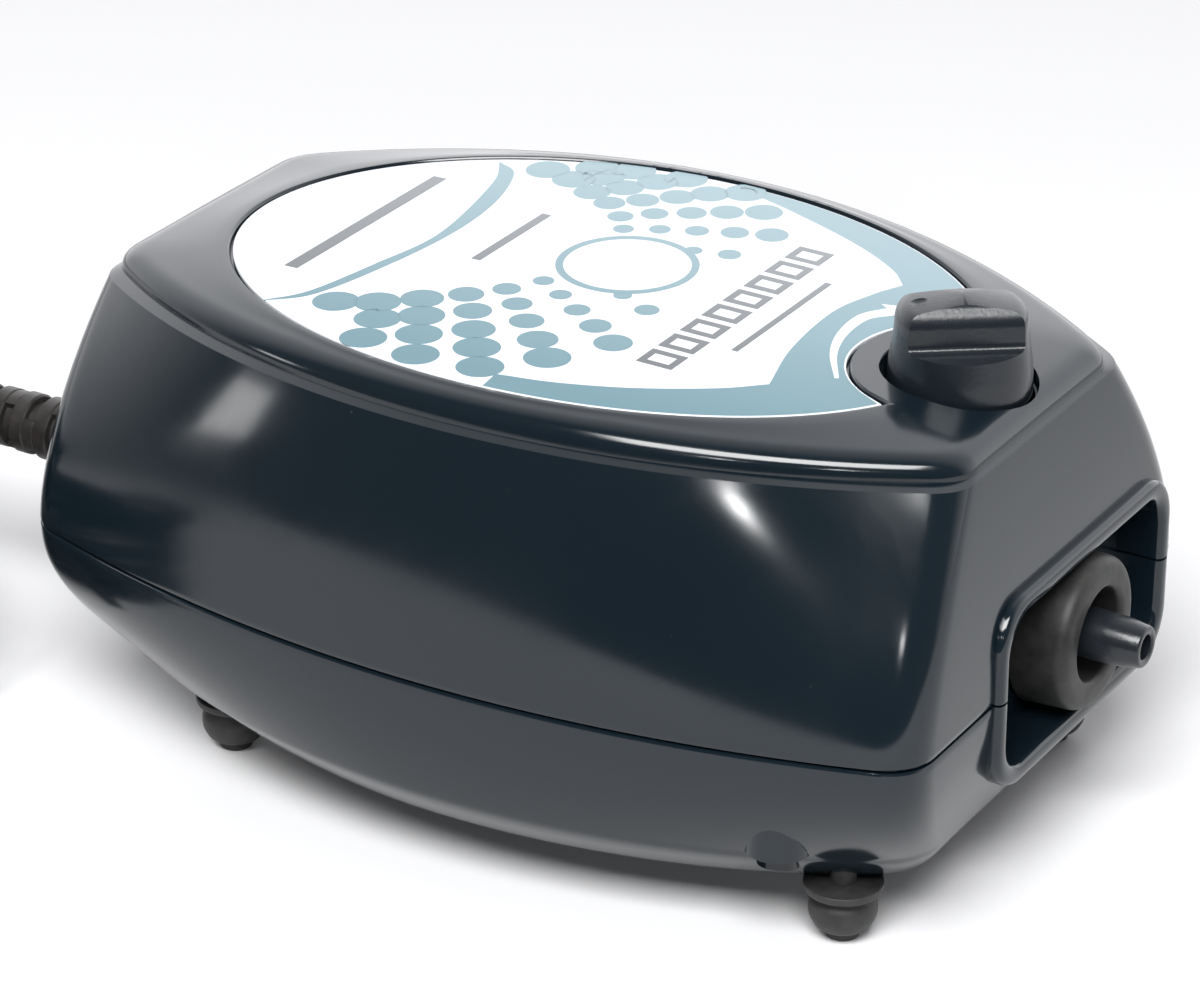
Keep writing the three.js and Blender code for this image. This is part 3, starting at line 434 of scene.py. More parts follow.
# cuts closed shapes, given as (points, faces), out of a piece, and applies each cut
def carve(piece, *cutters, sharp=32):
    for points, faces in cutters:
        tool = newObject("cutter", points, outward(points, faces), "casing")
        cut = piece.modifiers.new("cut", "BOOLEAN")
        cut.operation = "DIFFERENCE"
        cut.solver = "EXACT"
        cut.object = tool
        bpy.context.view_layer.update()
        result = piece.evaluated_get(bpy.context.evaluated_depsgraph_get())
        cutMesh = bpy.data.meshes.new_from_object(result)
        piece.modifiers.clear()
        piece.data = cutMesh
        bpy.data.objects.remove(tool)
    piece.data.shade_smooth()
    piece.data.set_sharp_from_angle(angle=math.radians(sharp))


# from a to b as t goes from 0 to 1
def mix(a, b, t):
    return a + (b - a) * t


# a quadratic curve from a to c that is drawn towards b
def bent(a, b, c, t):
    return (1 - t) ** 2 * a + 2 * t * (1 - t) * b + t ** 2 * c


# a profile with rounded corners: each corner is (a, b, radius) and becomes a Bezier arc
def rounded(corners, steps=6):
    corners = [np.array(c, float) for c in corners]
    out = []
    for i, corner in enumerate(corners):
        if i in (0, len(corners) - 1) or corner[2] == 0:
            out.append(corner[None, :2])
            continue
        before, after = corners[i - 1][:2] - corner[:2], corners[i + 1][:2] - corner[:2]
        reach = min(corner[2], 0.49 * np.linalg.norm(before), 0.49 * np.linalg.norm(after))
        start = corner[:2] + before / np.linalg.norm(before) * reach
        end = corner[:2] + after / np.linalg.norm(after) * reach
        out.append(bent(start, corner[:2], end, np.linspace(0, 1, steps)[:, None]))
    return np.vstack(out)


# a profile of (radius, height) carried round an axis through centre, all in metres
def turnedGrid(profile, axis, centre, sides=96):
    angle = np.linspace(0, 2 * np.pi, sides, endpoint=False)
    r, h = profile[:, :1], profile[:, 1:] * np.ones(sides)
    u, v = r * np.cos(angle), r * np.sin(angle)
    order = {"x": (h, u, v), "y": (u, h, v), "z": (u, v, h)}[axis]
    return np.stack(order, axis=-1) + np.array(centre)


# a closed turned shape from rounded corners in millimetres; a ring where it misses the axis
def turnedSolid(corners, axis, centre, sides=96, steps=6):
    profile = rounded(corners, steps) * mm
    grid = turnedGrid(profile, axis, centre, sides)
    if np.allclose(profile[0], profile[-1]) and profile[0, 0] > 1e-6:
        return closedLoop(grid[:-1])
    return closedSkin(grid)


shape = {   # millimetres, about the casing's own middle
    "seamLength": 60.0, "seamWidth": 44.1, "seamEnd": 33.5, "seamHeight": 27.2,
    "topLength": 57.0, "topWidth": 37.2, "topEnd": 17.8, "edgeHeight": 59.0, "edgeDrop": 1.6,
    "crownHeight": 60.0, "crownDrop": 1.1, "crownLength": 48.2, "crownWidth": 33.8,
    "shoulderLength": 57.3, "shoulderWidth": 42.0, "shoulderEnd": 26.0, "shoulderHeight": 12.0,
    "baseLength": 53.5, "baseWidth": 37.5, "baseEnd": 21.5, "baseHeight": 6.5,
    "rearBend": 17.5, "cornerRound": 4.5, "wall": 2.0, "gap": 0.3,
    "labelLength": 47.4, "labelWidth": 33.0,
}
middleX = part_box("lower_casing")[0].x + shape["seamLength"] * mm


# the middle of a CAD node's box, in millimetres about the casing's middle
def middleOf(name):
    low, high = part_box(name)
    return [round(float(v) / mm, 3) for v in (low + high) / 2 - Vector((middleX, 0, 0))]


# one closed outline: straight ends, bowed sides on a circle through (0, middle) and (front, end), and
# corners drawn as quadratic curves
def outline(front, rear, middle, end, corner, inset=0.0):
    front, rear, middle, end = front - inset, rear - inset, middle - inset, end - 0.75 * inset
    sagitta = middle - end
    bow = (front ** 2 + sagitta ** 2) / (2 * sagitta)

    def side(t):
        return np.stack([t * np.where(t > 0, front, rear),
                         middle - bow + np.sqrt(bow ** 2 - (t * front) ** 2)], axis=-1)

    reach = 1 - corner / front
    s = np.linspace(0, 1, 13)[:, None]
    frontEdge = np.stack([np.full(9, front), np.linspace(0, end - corner, 10)[:-1]], axis=-1)
    nose = bent(np.array([front, end - corner]), side(np.array(1.0)), side(np.array(reach)), s)
    flank = side(np.linspace(reach, -reach, 92)[1:-1])
    tail = bent(side(np.array(-reach)), side(np.array(-1.0)), np.array([-rear, end - corner]), s)
    rearEdge = np.stack([np.full(9, -rear), np.linspace(end - corner, 0, 10)[1:]], axis=-1)
    half = np.vstack([frontEdge, nose, flank, tail, rearEdge])
    return np.vstack([half, (half * (1, -1))[-2:0:-1]])


# the top's edge and its crown both fall with the square of the distance from the middle
def edgeAt(x):
    return shape["edgeHeight"] - shape["edgeDrop"] * (x / shape["topLength"]) ** 2


def crownAt(x):
    return shape["crownHeight"] - shape["crownDrop"] * (x / shape["topLength"]) ** 2


# the upper casing's outline at a share of the way up from the joint to the top's edge
def upperRing(share, inset=0.0, drop=0.0):
    bulge = share * share
    length = mix(shape["seamLength"], shape["topLength"], bulge)
    plan = outline(length, length, mix(shape["seamWidth"], shape["topWidth"], bulge),
                   mix(shape["seamEnd"], shape["topEnd"], max(0.0, share) ** 1.5),
                   mix(shape["cornerRound"], shape["cornerRound"] * 0.6, share), inset)
    height = mix(shape["seamHeight"], edgeAt(plan[:, 0]), share) - drop
    return np.column_stack([plan, height])


# the lower casing's outline at a height: it leans in to the shoulder, then turns under
def lowerRing(height, inset=0.0, lift=0.0):
    turned = min(1.0, (shape["seamHeight"] - height) / (shape["seamHeight"] - shape["shoulderHeight"])) ** 2
    under = (shape["shoulderHeight"] - height) / (shape["shoulderHeight"] - shape["baseHeight"])
    under = max(0.0, under) ** 1.3
    length, width, end = [
        mix(mix(shape["seam" + key], shape["shoulder" + key], turned), shape["base" + key], under)
        for key in ("Length", "Width", "End")]
    bend = (shape["seamHeight"] - 3 - height) / (shape["seamHeight"] - 3 - shape["baseHeight"])
    bend = min(1.0, max(0.0, bend))
    rear = shape["seamLength"] - shape["rearBend"] * (1 - math.sqrt(1 - bend ** 2))
    plan = outline(length, rear, width, end, shape["cornerRound"], inset)
    return np.column_stack([plan, np.full(len(plan), height + lift)])


# the points of an oval on the crown, one for each point of a ring, at the same polar angle
def ovalRing(ring, length, width, offset=0.0):
    angle = np.arctan2(ring[:, 1] / width, ring[:, 0] / length)
    x = length * np.cos(angle)
    return np.column_stack([x, width * np.sin(angle), crownAt(x) + offset])


# from millimetres about the casing's middle to the row frame
def placed(points):
    return points * mm + np.array([middleX, 0, 0])


cordSettings = {
    "radius": 2.7, "coilX": -102.0, "coilY": -50.2, "middle": 27.0, "pitch": 5.4, "outside": 38.2,
    "turns": 8, "floor": 3.0, "lowest": 3.6, "layer": 5.4, "top": 25.5, "enters": 174.0,
    "route": [
        (-86.3, -12, 27.2), (-90, -12, 27.2), (-94, -12, 27.2), (-98, -12, 27.2), (-102, -12, 26.9),
        (-106, -12.2, 26.2), (-109.9, -12.8, 24.9), (-113.8, -13.9, 23.2), (-117.5, -15.3, 21.1),
        (-121.1, -17.1, 18.8), (-124.5, -19.3, 16.4), (-127.6, -21.8, 13.8), (-130.4, -24.6, 11.4),
        (-132.9, -27.7, 9.1), (-135.1, -31.1, 7), (-136.9, -34.7, 5.3), (-138.3, -38.4, 4),
        (-139.4, -42.3, 3.3), (-140, -46.2, 3),
    ],
    "tail": [
        (-102, -82.6, 25.5), (-96.9, -82, 25.57), (-92, -80.3, 25.77), (-87.7, -77.6, 26.09),
        (-84, -73.9, 26.51), (-81.3, -69.6, 27), (-79.6, -64.7, 27.52), (-79, -59.6, 28.05),
        (-79.6, -54.5, 28.54), (-81.3, -49.6, 28.96), (-84, -45.3, 29.28), (-87.7, -41.6, 29.48),
        (-92, -38.9, 29.55), (-96.9, -37.2, 29.55), (-102, -36.6, 29.55), (-102.7, -36.6, 29.55),
    ],
}


# three times the square less twice the cube: level at both ends
def smoothStep(t):
    t = np.clip(t, 0, 1)
    return t * t * (3 - 2 * t)


# flat spirals in layers: the radius runs in and out between its limits, two turns a layer, and the height
# steps up at each change of layer. The last part turn climbs onto the top of the coil
def coilTurns():
    c = cordSettings
    inner, outer = c["middle"] - c["pitch"], c["middle"] + c["pitch"]
    whole = c["turns"] + (270 - c["enters"]) / 360
    t = np.linspace(0, whole, int(whole * 36))[1:-1]
    over = t - c["turns"]
    radius = np.where(over > 0, outer, outer - np.abs((t + 2) % 4 - 2) * c["pitch"])
    radius = radius + (c["outside"] - outer) * (1 - smoothStep(t / 0.4))
    layer = sum(smoothStep((t - change) / 0.4 + 0.5) for change in (2, 4, 6))
    height = c["lowest"] + c["layer"] * layer - (c["lowest"] - c["floor"]) * (1 - smoothStep(t / 0.15))
    height = mix(height, c["top"], smoothStep(over / (whole - c["turns"])))
    angle = np.radians(c["enters"]) + 2 * np.pi * t
    return np.stack([c["coilX"] + radius * np.cos(angle), c["coilY"] + radius * np.sin(angle), height],
                    axis=-1)


def makeCord():
    points = placed(np.vstack([cordSettings["route"], coilTurns(), cordSettings["tail"]]))
    data = bpy.data.curves.new("mainsCord", "CURVE")
    data.dimensions = "3D"
    data.bevel_depth = cordSettings["radius"] * mm
    data.bevel_resolution = 5
    data.resolution_u = 3
    data.use_fill_caps = True
    line = data.splines.new("NURBS")
    line.points.add(len(points) - 1)
    line.points.foreach_set("co", np.column_stack([points, np.ones(len(points))]).ravel())
    line.use_endpoint_u = True
    line.order_u = 4
    data.materials.append(looks["lead"])
    cord = addObject("mainsCord", data)
    settle(cord, instead=("mains_lead", "lead_coil", "plug_lead"))
    length = float(np.linalg.norm(np.diff(points, axis=0), axis=1).sum())
    print("cord length", round(length, 3))
    return cord, points, length


cord, cordPoints, cordLength = makeCord()
print("cord made")


# the label's reach from its middle at a polar angle: an oval, cut short by a circle round the knob
def labelReach(angle, grow=0.0):
    length, width = shape["labelLength"] + grow, shape["labelWidth"] + grow
    oval = 1 / np.sqrt((np.cos(angle) / length) ** 2 + (np.sin(angle) / width) ** 2)
    along, across = knob["centre"] * np.cos(angle), knob["centre"] * np.sin(angle)
    inside = (knob["labelCut"] - grow) ** 2 - across ** 2
    near = along - np.sqrt(np.maximum(inside, 0))
    return np.where((inside > 0) & (np.cos(angle) > 0), np.minimum(oval, near), oval)


# rings over the label's outline; each level is (share of the reach, growth, height over the crown)
def labelGrid(levels, columns=720):
    angle = np.linspace(0, 2 * np.pi, columns, endpoint=False)
    rings = []
    for share, grow, height in levels:
        reach = labelReach(angle, grow) * share
        x = reach * np.cos(angle)
        rings.append(np.column_stack([x, reach * np.sin(angle), crownAt(x) + height]))
    return closedSkin(placed(np.stack(rings)))


# a rounded rectangle facing +X at a given x, round the outlet's middle
def roundedLoop(halfWidth, halfHeight, corner, x, steps=10):
    s = np.linspace(0, np.pi / 2, steps)
    parts = []
    for quarter, (sy, sz) in enumerate([(1, 1), (-1, 1), (-1, -1), (1, -1)]):
        a = s + quarter * np.pi / 2
        parts.append(np.stack([np.full(steps, x),
                               recess["y"] + sy * (halfWidth - corner) + corner * np.cos(a),
                               recess["z"] + sz * (halfHeight - corner) + corner * np.sin(a)], axis=-1))
    return np.vstack(parts)


knob = {"centre": middleOf("control_knob")[0], "labelCut": 12.4, "wellRadius": 8.9, "wellFloor": 56.4}
recess = {"y": middleOf("outlet_nozzle")[1], "z": middleOf("outlet_nozzle")[2], "halfWidth": 22.0,
          "halfHeight": 12.0, "rimWidth": 2.4, "round": 6.0, "front": 60.9, "panelFront": 55.0,
          "panelThickness": 2.0}
base = {"floor": 8.5, "footRoom": 4.9, "screwHole": 2.4, "screwSleeve": 3.9, "coverRoom": 12.7}
relief = {"y": middleOf("strain_relief")[1], "hole": 3.9, "start": -60.8, "end": -86.0, "ribs": 6,
          "nearRadius": 4.3, "farRadius": 3.6, "groove": 1.1, "bridge": 0.9}
outletCentre = (middleX, recess["y"] * mm, recess["z"] * mm)
cornerNames = [f"{fore}_{hand}" for fore in ("front", "rear") for hand in ("left", "right")]


# the upright axis of a CAD node
def uprightAt(name):
    x, y, _ = middleOf(name)
    return (middleX + x * mm, y * mm, 0)


def recessCutter():
    half, tall = recess["halfWidth"] - 1, recess["halfHeight"] - 1
    return closedSkin(placed(np.stack([roundedLoop(half, tall, 5.0, x) for x in (48, 56, 70)])))


# the profile of a plain rod
def rod(radius, low, high):
    return [(0, low, 0), (radius, low, 0), (radius, high, 0), (0, high, 0)]


# the hole of the strain relief, half in each shell
def reliefCutter():
    return turnedSolid(rod(relief["hole"], -62, -50), "x",
                       (middleX, relief["y"] * mm, shape["seamHeight"] * mm), sides=48)


# rows of rings up the inside of the wall, over the lip, up the outside, round the edge and over the crown
def makeUpperShell():
    tall = shape["edgeHeight"] - shape["seamHeight"]
    joint, wall = shape["gap"] / 2 / tall, shape["wall"]
    under = ovalRing(upperRing(1), 47.4, 31, -3)
    inside = [0.5 * under + 0.5 * np.array([0, 0, 57]), under, upperRing(1, wall + 1.6, 2.6),
              upperRing(0.86, wall + 0.3)] + [upperRing(s, wall) for s in (0.6, 0.3, 0.07)]
    lip = [upperRing(joint, wall), upperRing(joint, 0.3), upperRing(joint + 0.002, 0.1),
           upperRing(joint + 0.008)]
    side = [upperRing(s) for s in np.linspace(0.03, 0.915, 27)]
    start, corner = upperRing(1, 0, 2.2), upperRing(1)
    oval = ovalRing(corner, shape["crownLength"], shape["crownWidth"])
    share = np.minimum(0.8, 3.6 / np.linalg.norm((oval - corner)[:, :2], axis=1))[:, None]
    end = mix(corner, oval, share)
    corner = corner + (oval - corner) * (0, 0, 1) * share ** 2 * 0.8
    edge = [bent(start, corner, end, t) for t in np.linspace(0, 1, 11)]
    land = [mix(end, oval, t) for t in (0.35, 0.7)]
    crown = [ovalRing(upperRing(1), shape["crownLength"] * s, shape["crownWidth"] * s)
             for s in (1, 0.98, 0.8, 0.5, 0.2)]
    skin = closedSkin(placed(np.stack(inside + lip + side + edge + land + crown)))
    shell = newObject("upperShell", *skin, "casing")
    pocket = labelGrid([(0.5, 0, -0.9), (1, 0, -0.9), (1, 0, -0.45), (1, 0.08, -0.2), (1, 0.3, 0.0),
                        (1, 1.8, 1.5), (0.5, 1.8, 1.5)])
    reach = knob["wellRadius"]
    well = turnedSolid([(0, knob["wellFloor"], 0), (reach, knob["wellFloor"], 0), (reach, 59.0, 0),
                        (reach + 0.1, 59.4, 0), (reach + 0.45, 59.75, 0), (reach + 2.2, 61.5, 0),
                        (0, 61.5, 0)],
                       "z", uprightAt("control_knob"), sides=144)
    carve(shell, pocket, well, recessCutter(), reliefCutter())
    return settle(shell, instead=("upper_casing",))


# the same, from the floor's middle up the inside, over the lip and down the outside to the underside
def makeLowerShell():
    wall, top = shape["wall"], shape["seamHeight"] - shape["gap"] / 2
    inside = [lowerRing(6.9, wall, base["floor"] - 6.9), lowerRing(7.6, wall, base["floor"] - 7.6)]
    inside += [lowerRing(h, wall) for h in (9.5, 11, 12.5, 14, 17, 20, 24)]
    lip = [lowerRing(top, wall), lowerRing(top, 0.3), lowerRing(top - 0.07, 0.1), lowerRing(top - 0.26)]
    side = [lowerRing(h) for h in np.r_[np.linspace(26, 12.6, 16), np.linspace(12, 7.6, 12)]]
    start, corner, end = lowerRing(7.5), lowerRing(6.5), lowerRing(6.5, 1.3)
    edge = [bent(start, corner, end, t) for t in np.linspace(0.1, 1, 7)]
    skin = closedSkin(placed(np.stack(inside + lip + side + edge)))
    shell = newObject("lowerShell", *skin, "casing")
    cutters = [recessCutter(), reliefCutter()]
    room, hole, cover = base["footRoom"], base["screwHole"], base["coverRoom"]
    for corner in cornerNames:
        cutters.append(turnedSolid([(0, 5, 0), (room + 1.4, 5, 0), (room + 0.3, 6.5, 0), (room, 6.9, 0),
                                    (room, 7.4, 0), (0, 7.4, 0)], "z", uprightAt("foot_" + corner), sides=64))
    for corner in cornerNames:
        cutters.append(turnedSolid(rod(hole, 4, 15), "z", uprightAt("casing_screw_" + corner), sides=64))
    cutters.append(turnedSolid([(0, 5, 0), (cover + 0.9, 5, 0), (cover, 6.6, 0), (cover, 9, 0), (0, 9, 0)],
                               "z", (middleX, 0, 0), sides=96))
    carve(shell, *cutters)
    return settle(shell, instead=("lower_casing",))


# open sleeves above the screw holes, as far as the screws' heads
def makeScrewWells():
    hole, sleeve = base["screwHole"], base["screwSleeve"]
    points, faces = joined(*[
        turnedSolid([(hole, 12.6, 0), (sleeve, 12.6, 0), (sleeve, 17, 0), (hole, 17, 0), (hole, 12.6, 0)],
                    "z", uprightAt("casing_screw_" + corner), sides=64) for corner in cornerNames])
    return settle(newObject("screwWells", points, faces, "casing"), instead=("lower_casing",))


# the well's floor and wall below the top, with a hole for the control's shaft
def makeKnobWell():
    floor, reach = knob["wellFloor"], knob["wellRadius"]
    profile = [(2.8, floor - 1.9, 0), (reach + 0.3, floor - 1.9, 0.2), (reach + 0.3, 57.2, 0),
               (reach, 57.2, 0), (reach, floor, 0.4), (2.8, floor, 0), (2.8, floor - 1.9, 0)]
    cup = turnedSolid(profile, "z", uprightAt("control_knob"), sides=144)
    return settle(newObject("knobWell", *cup, "casing"), instead=("upper_casing",))


# a raised band with a rounded face, carried round the opening and parted at the casing's joint
def makeRecessRim():
    wide, front = recess["rimWidth"], recess["front"]
    profile = rounded([(0, 54, 0), (0, front, 1.1), (wide, front, 1.3), (wide, 52.5, 0), (wide - 1, 52.5, 0),
                       (0.8, 54, 0)], steps=8)
    rings = [roundedLoop(recess["halfWidth"] - d, recess["halfHeight"] - d, recess["round"] - 0.7 * d, x)
             for d, x in profile]
    rim = newObject("recessRim", *closedLoop(placed(np.stack(rings))), "casing")
    slab = np.array([[x, y, shape["seamHeight"] + z] for z in (-0.15, 0.15)
                     for x, y in ((50, -30), (70, -30), (70, 40), (50, 40))])
    sides = [[i, (i + 1) % 4, (i + 1) % 4 + 4, i + 4] for i in range(4)]
    carve(rim, (placed(slab), [[3, 2, 1, 0], [4, 5, 6, 7]] + sides))
    return settle(rim, instead=("upper_casing", "lower_casing"))


makeUpperShell()
makeLowerShell()
makeScrewWells()
makeKnobWell()
makeRecessRim()
print("casing made")


# a plate with a rounded front edge and a round hole for the grommet
def makePanel():
    front, back = recess["panelFront"], recess["panelFront"] - recess["panelThickness"]
    half = recess["halfWidth"] - recess["rimWidth"] + 0.6
    tall = recess["halfHeight"] - recess["rimWidth"] + 0.6
    rings = [roundedLoop(half - d, tall - d, 3.4 - 0.5 * d, x)
             for d, x in ((1, back), (0, back), (0, front), (0.9, front), (4, front))]
    panel = newObject("outletPanel", *closedSkin(placed(np.stack(rings))), "casing")
    carve(panel, turnedSolid(rod(6.3, 50, 57), "x", outletCentre, sides=64))
    return settle(panel, instead=("outlet_panel",))


# a turned collar that grips the panel, its front rolled over a deep eye
def makeGrommet():
    profile = [(3.3, 50.7, 0), (7.8, 50.7, 0.5), (7.8, 52.6, 0.3), (6, 52.7, 0), (6, 55.3, 0),
               (9.5, 55.3, 0.4), (9.15, 62.5, 1.7), (5.6, 62.5, 0.9), (5.5, 57.5, 1), (3.3, 56.5, 0.4),
               (3.3, 50.7, 0)]
    collar = turnedSolid(profile, "x", outletCentre, sides=128, steps=9)
    grommet = newObject("outletGrommet", *collar, "grommet")
    return settle(grommet, instead=("outlet_grommet",))


# a tapered pipe, its flange and its hose spigot, bored right through
def makeNozzle():
    tip = 68.3
    profile = [(1.5, tip - 0.2, 0), (1.75, tip, 0.2), (2.45, tip, 0.5), (3, tip - 3.2, 2.4), (3, 53, 0),
               (3, 50.4, 0), (5, 50.4, 0.3), (5, 48.6, 0.3), (1.9, 48.6, 0), (1.9, 41.6, 0.3), (1.1, 41.5, 0),
               (1.1, 50.4, 0), (1.5, 51, 0), (1.5, tip - 0.2, 0)]
    pipe = turnedSolid(profile, "x", outletCentre, sides=96, steps=8)
    return settle(newObject("outletNozzle", *pipe, "nozzle"), instead=("outlet_nozzle",))


makePanel()
makeGrommet()
makeNozzle()
print("outlet made")


knobShape = {"radius": 8.2, "topRadius": 7.5, "bottom": 56.7, "shoulder": 63.2, "top": 68.3, "half": 3.75,
             "angle": 36.0}


# turned clockwise, seen from above, about the upright axis through centre
def turnAbout(points, degrees, centre):
    a = math.radians(degrees)
    spin = np.array([[math.cos(a), math.sin(a), 0], [-math.sin(a), math.cos(a), 0], [0, 0, 1]])
    return (points - centre) @ spin + centre


# a lathe shape, cut along both sides of its bar, with a dimple that points
def makeKnob():
    k = knobShape
    centre = np.array(uprightAt("control_knob"))
    body = turnedSolid([(2.7, k["bottom"] + 8, 0), (2.7, k["bottom"] + 3.2, 0), (6.4, k["bottom"] + 3.2, 0),
                        (6.4, k["bottom"], 0), (k["radius"], k["bottom"], 0.3),
                        (k["radius"], k["bottom"] + 3, 1.5), (k["topRadius"] + 0.1, k["shoulder"] + 0.6, 0.8),
                        (k["topRadius"] - 0.1, k["top"] - 1.1, 1.6), (0, k["top"] + 0.2, 0)],
                       "z", centre, sides=192, steps=9)
    piece = newObject("controlKnob", *body, "knob")
    half, shoulder, top = k["half"], k["shoulder"], k["top"]
    side = rounded([(11, shoulder, 0), (half + 0.15, shoulder, 0.9), (half - 0.1, top - 1.7, 0.9),
                    (half - 1.3, top - 0.3, 0.8), (half - 2.0, top + 0.15, 0), (half - 2.0, 72, 0),
                    (11, 72, 0)], steps=9)
    cutters = []
    for sign in (1, -1):
        rings = [np.column_stack([np.full(len(side), x), side[:, 0] * sign, side[:, 1]]) * mm + centre
                 for x in (-11, 11)]
        grid, faces = closedSkin(np.stack(rings))
        cutters.append((turnAbout(grid, k["angle"], centre), faces))
    ball = rounded([(0, -1, 0), (1, -1, 1), (1, 1, 1), (0, 1, 0)], 9)
    ball = ball / np.linalg.norm(ball, axis=1, keepdims=True) * 1.75
    middle = turnAbout(centre + np.array([-5.1, 0, k["top"] + 0.75]) * mm, k["angle"], centre)
    cutters.append(closedSkin(turnedGrid(ball * mm, "z", middle, 48)))
    carve(piece, *cutters, sharp=28)
    return settle(piece, body="knob", instead=("control_knob",))


makeKnob()
print("knob made")


def makeLabel():
    plate = labelGrid([(0.5, -0.3, -0.6), (1, -0.3, -0.6), (1, -0.3, -0.28), (1, -0.36, -0.21),
                       (1, -0.5, -0.2), (0.9, -0.5, -0.2), (0.6, -0.5, -0.2), (0.3, -0.5, -0.2)])
    return settle(newObject("ovalLabel", *plate, "label"), instead=("top_label",))


printSettings = {
    "height": -0.2, "proud": 0.03, "across": 5,
    "dots": [
        [(-22.8, -21.4), (-18.5, -19.2), (-14.6, -15.8), (-10.9, -12.2), (-7.7, -8.5), (-5.3, -4.3)],
        [(-15.9, -23.1), (-12, -19.9), (-7.7, -15.8), (-4.4, -11.5), (-1.5, -6.7)],
        [(-14.3, -28.4), (-9.4, -24.4), (-4.8, -20.1), (-0.9, -15), (2.4, -9.4), (4.7, -3.1)],
        [(-6.7, -29.2), (-1.8, -24.1), (2.9, -18.7), (6.5, -12.1), (9.2, -5.2)],
        [(1.3, -28.3), (6.4, -22.3), (10.6, -15)],
        [(-23, 25.1), (-18, 28.6), (-13.6, 30)],
        [(-18.6, 24), (-15.8, 26.4), (-9.3, 28.4), (-6.8, 31.0)],
        [(-14.5, 21.6), (-11.8, 24.8), (-4.8, 25.5), (-1.9, 28.4), (1.6, 30.9)],
        [(-10.9, 19.7), (-7.9, 22.5), (-0.8, 22.1), (2.7, 24.5), (6.5, 26.8)],
        [(-7.6, 16.8), (-4.5, 19.6), (2.5, 17.7), (6.6, 19.6), (10.7, 21.3)],
        [(-5.3, 13.7), (-1.5, 15.8), (5.1, 12.4), (9.3, 13.6)],
    ],
    "ring": (0.6, 4.8, 8.0, 0.9),
    "swooshLeft": [(-30.3, -25.2), (-27.2, -20.4), (-25, -9.9), (-23.5, 1.5), (-26.5, 17.8), (-29.5, 24.3)],
    "swooshRight": [(-30.1, -25.2), (-26.1, -20.7), (-23.4, -8.9), (-22.2, 3), (-23, 13.2), (-25.9, 21.9),
                    (-29.3, 24.3)],
    "band": [[(3.8, -29), (10.6, -27.4), (18.5, -24.1), (26.3, -19.2), (30.8, -15)],
             [(30.8, -15), (28.3, -5.5), (27.4, 5.5), (28.9, 12.4), (30.7, 16.8)],
             [(30.7, 16.8), (27.4, 20.2), (20.4, 24.3), (9.1, 28.9), (-0.4, 32)]],
    "arrow": [(36.3, -9.5), (32.9, -4), (31.2, 1.3), (31.1, 6.4), (33, 9.5)],
}


# an even number of points on a smooth curve through the given ones (Catmull-Rom)
def through(points, count):
    p = np.array(points, float)
    p = np.vstack([2 * p[0] - p[1], p, 2 * p[-1] - p[-2]])
    u = np.linspace(0, len(p) - 3, count)
    i = np.minimum(u.astype(int), len(p) - 4)
    t = (u - i)[:, None]
    a, b, c, d = p[i], p[i + 1], p[i + 2], p[i + 3]
    square, cube = 2 * a - 5 * b + 4 * c - d, 3 * b - a - 3 * c + d
    return 0.5 * (2 * b + (c - a) * t + square * t ** 2 + cube * t ** 3)


# a thin closed film between two lines in the label's plane, lying on the crown
def film(first, second, level=1.0):
    s = printSettings
    t = np.linspace(0, 1, s["across"])[:, None, None]
    plan = first * (1 - t) + second * t
    top = np.dstack([plan, crownAt(plan[..., 0]) + s["height"] + s["proud"] * level])
    low = np.dstack([plan, crownAt(plan[..., 0]) + s["height"] - 0.02])
    loop = np.concatenate([top, low[::-1]]).transpose(1, 0, 2)
    return closedSkin(placed(loop))


# a dot: rings out along the low face and back along the high one
def disc(x, y, radius, level=1.0, sides=28):
    s = printSettings
    angle = np.linspace(0, 2 * np.pi, sides, endpoint=False)
    rings = []
    for share, height in ((0.5, -0.02), (1, -0.02), (1, s["proud"] * level), (0.5, s["proud"] * level)):
        px, py = x + share * radius * np.cos(angle), y + share * radius * np.sin(angle)
        rings.append(np.column_stack([px, py, crownAt(px) + s["height"] + height]))
    return closedSkin(placed(np.stack(rings)))


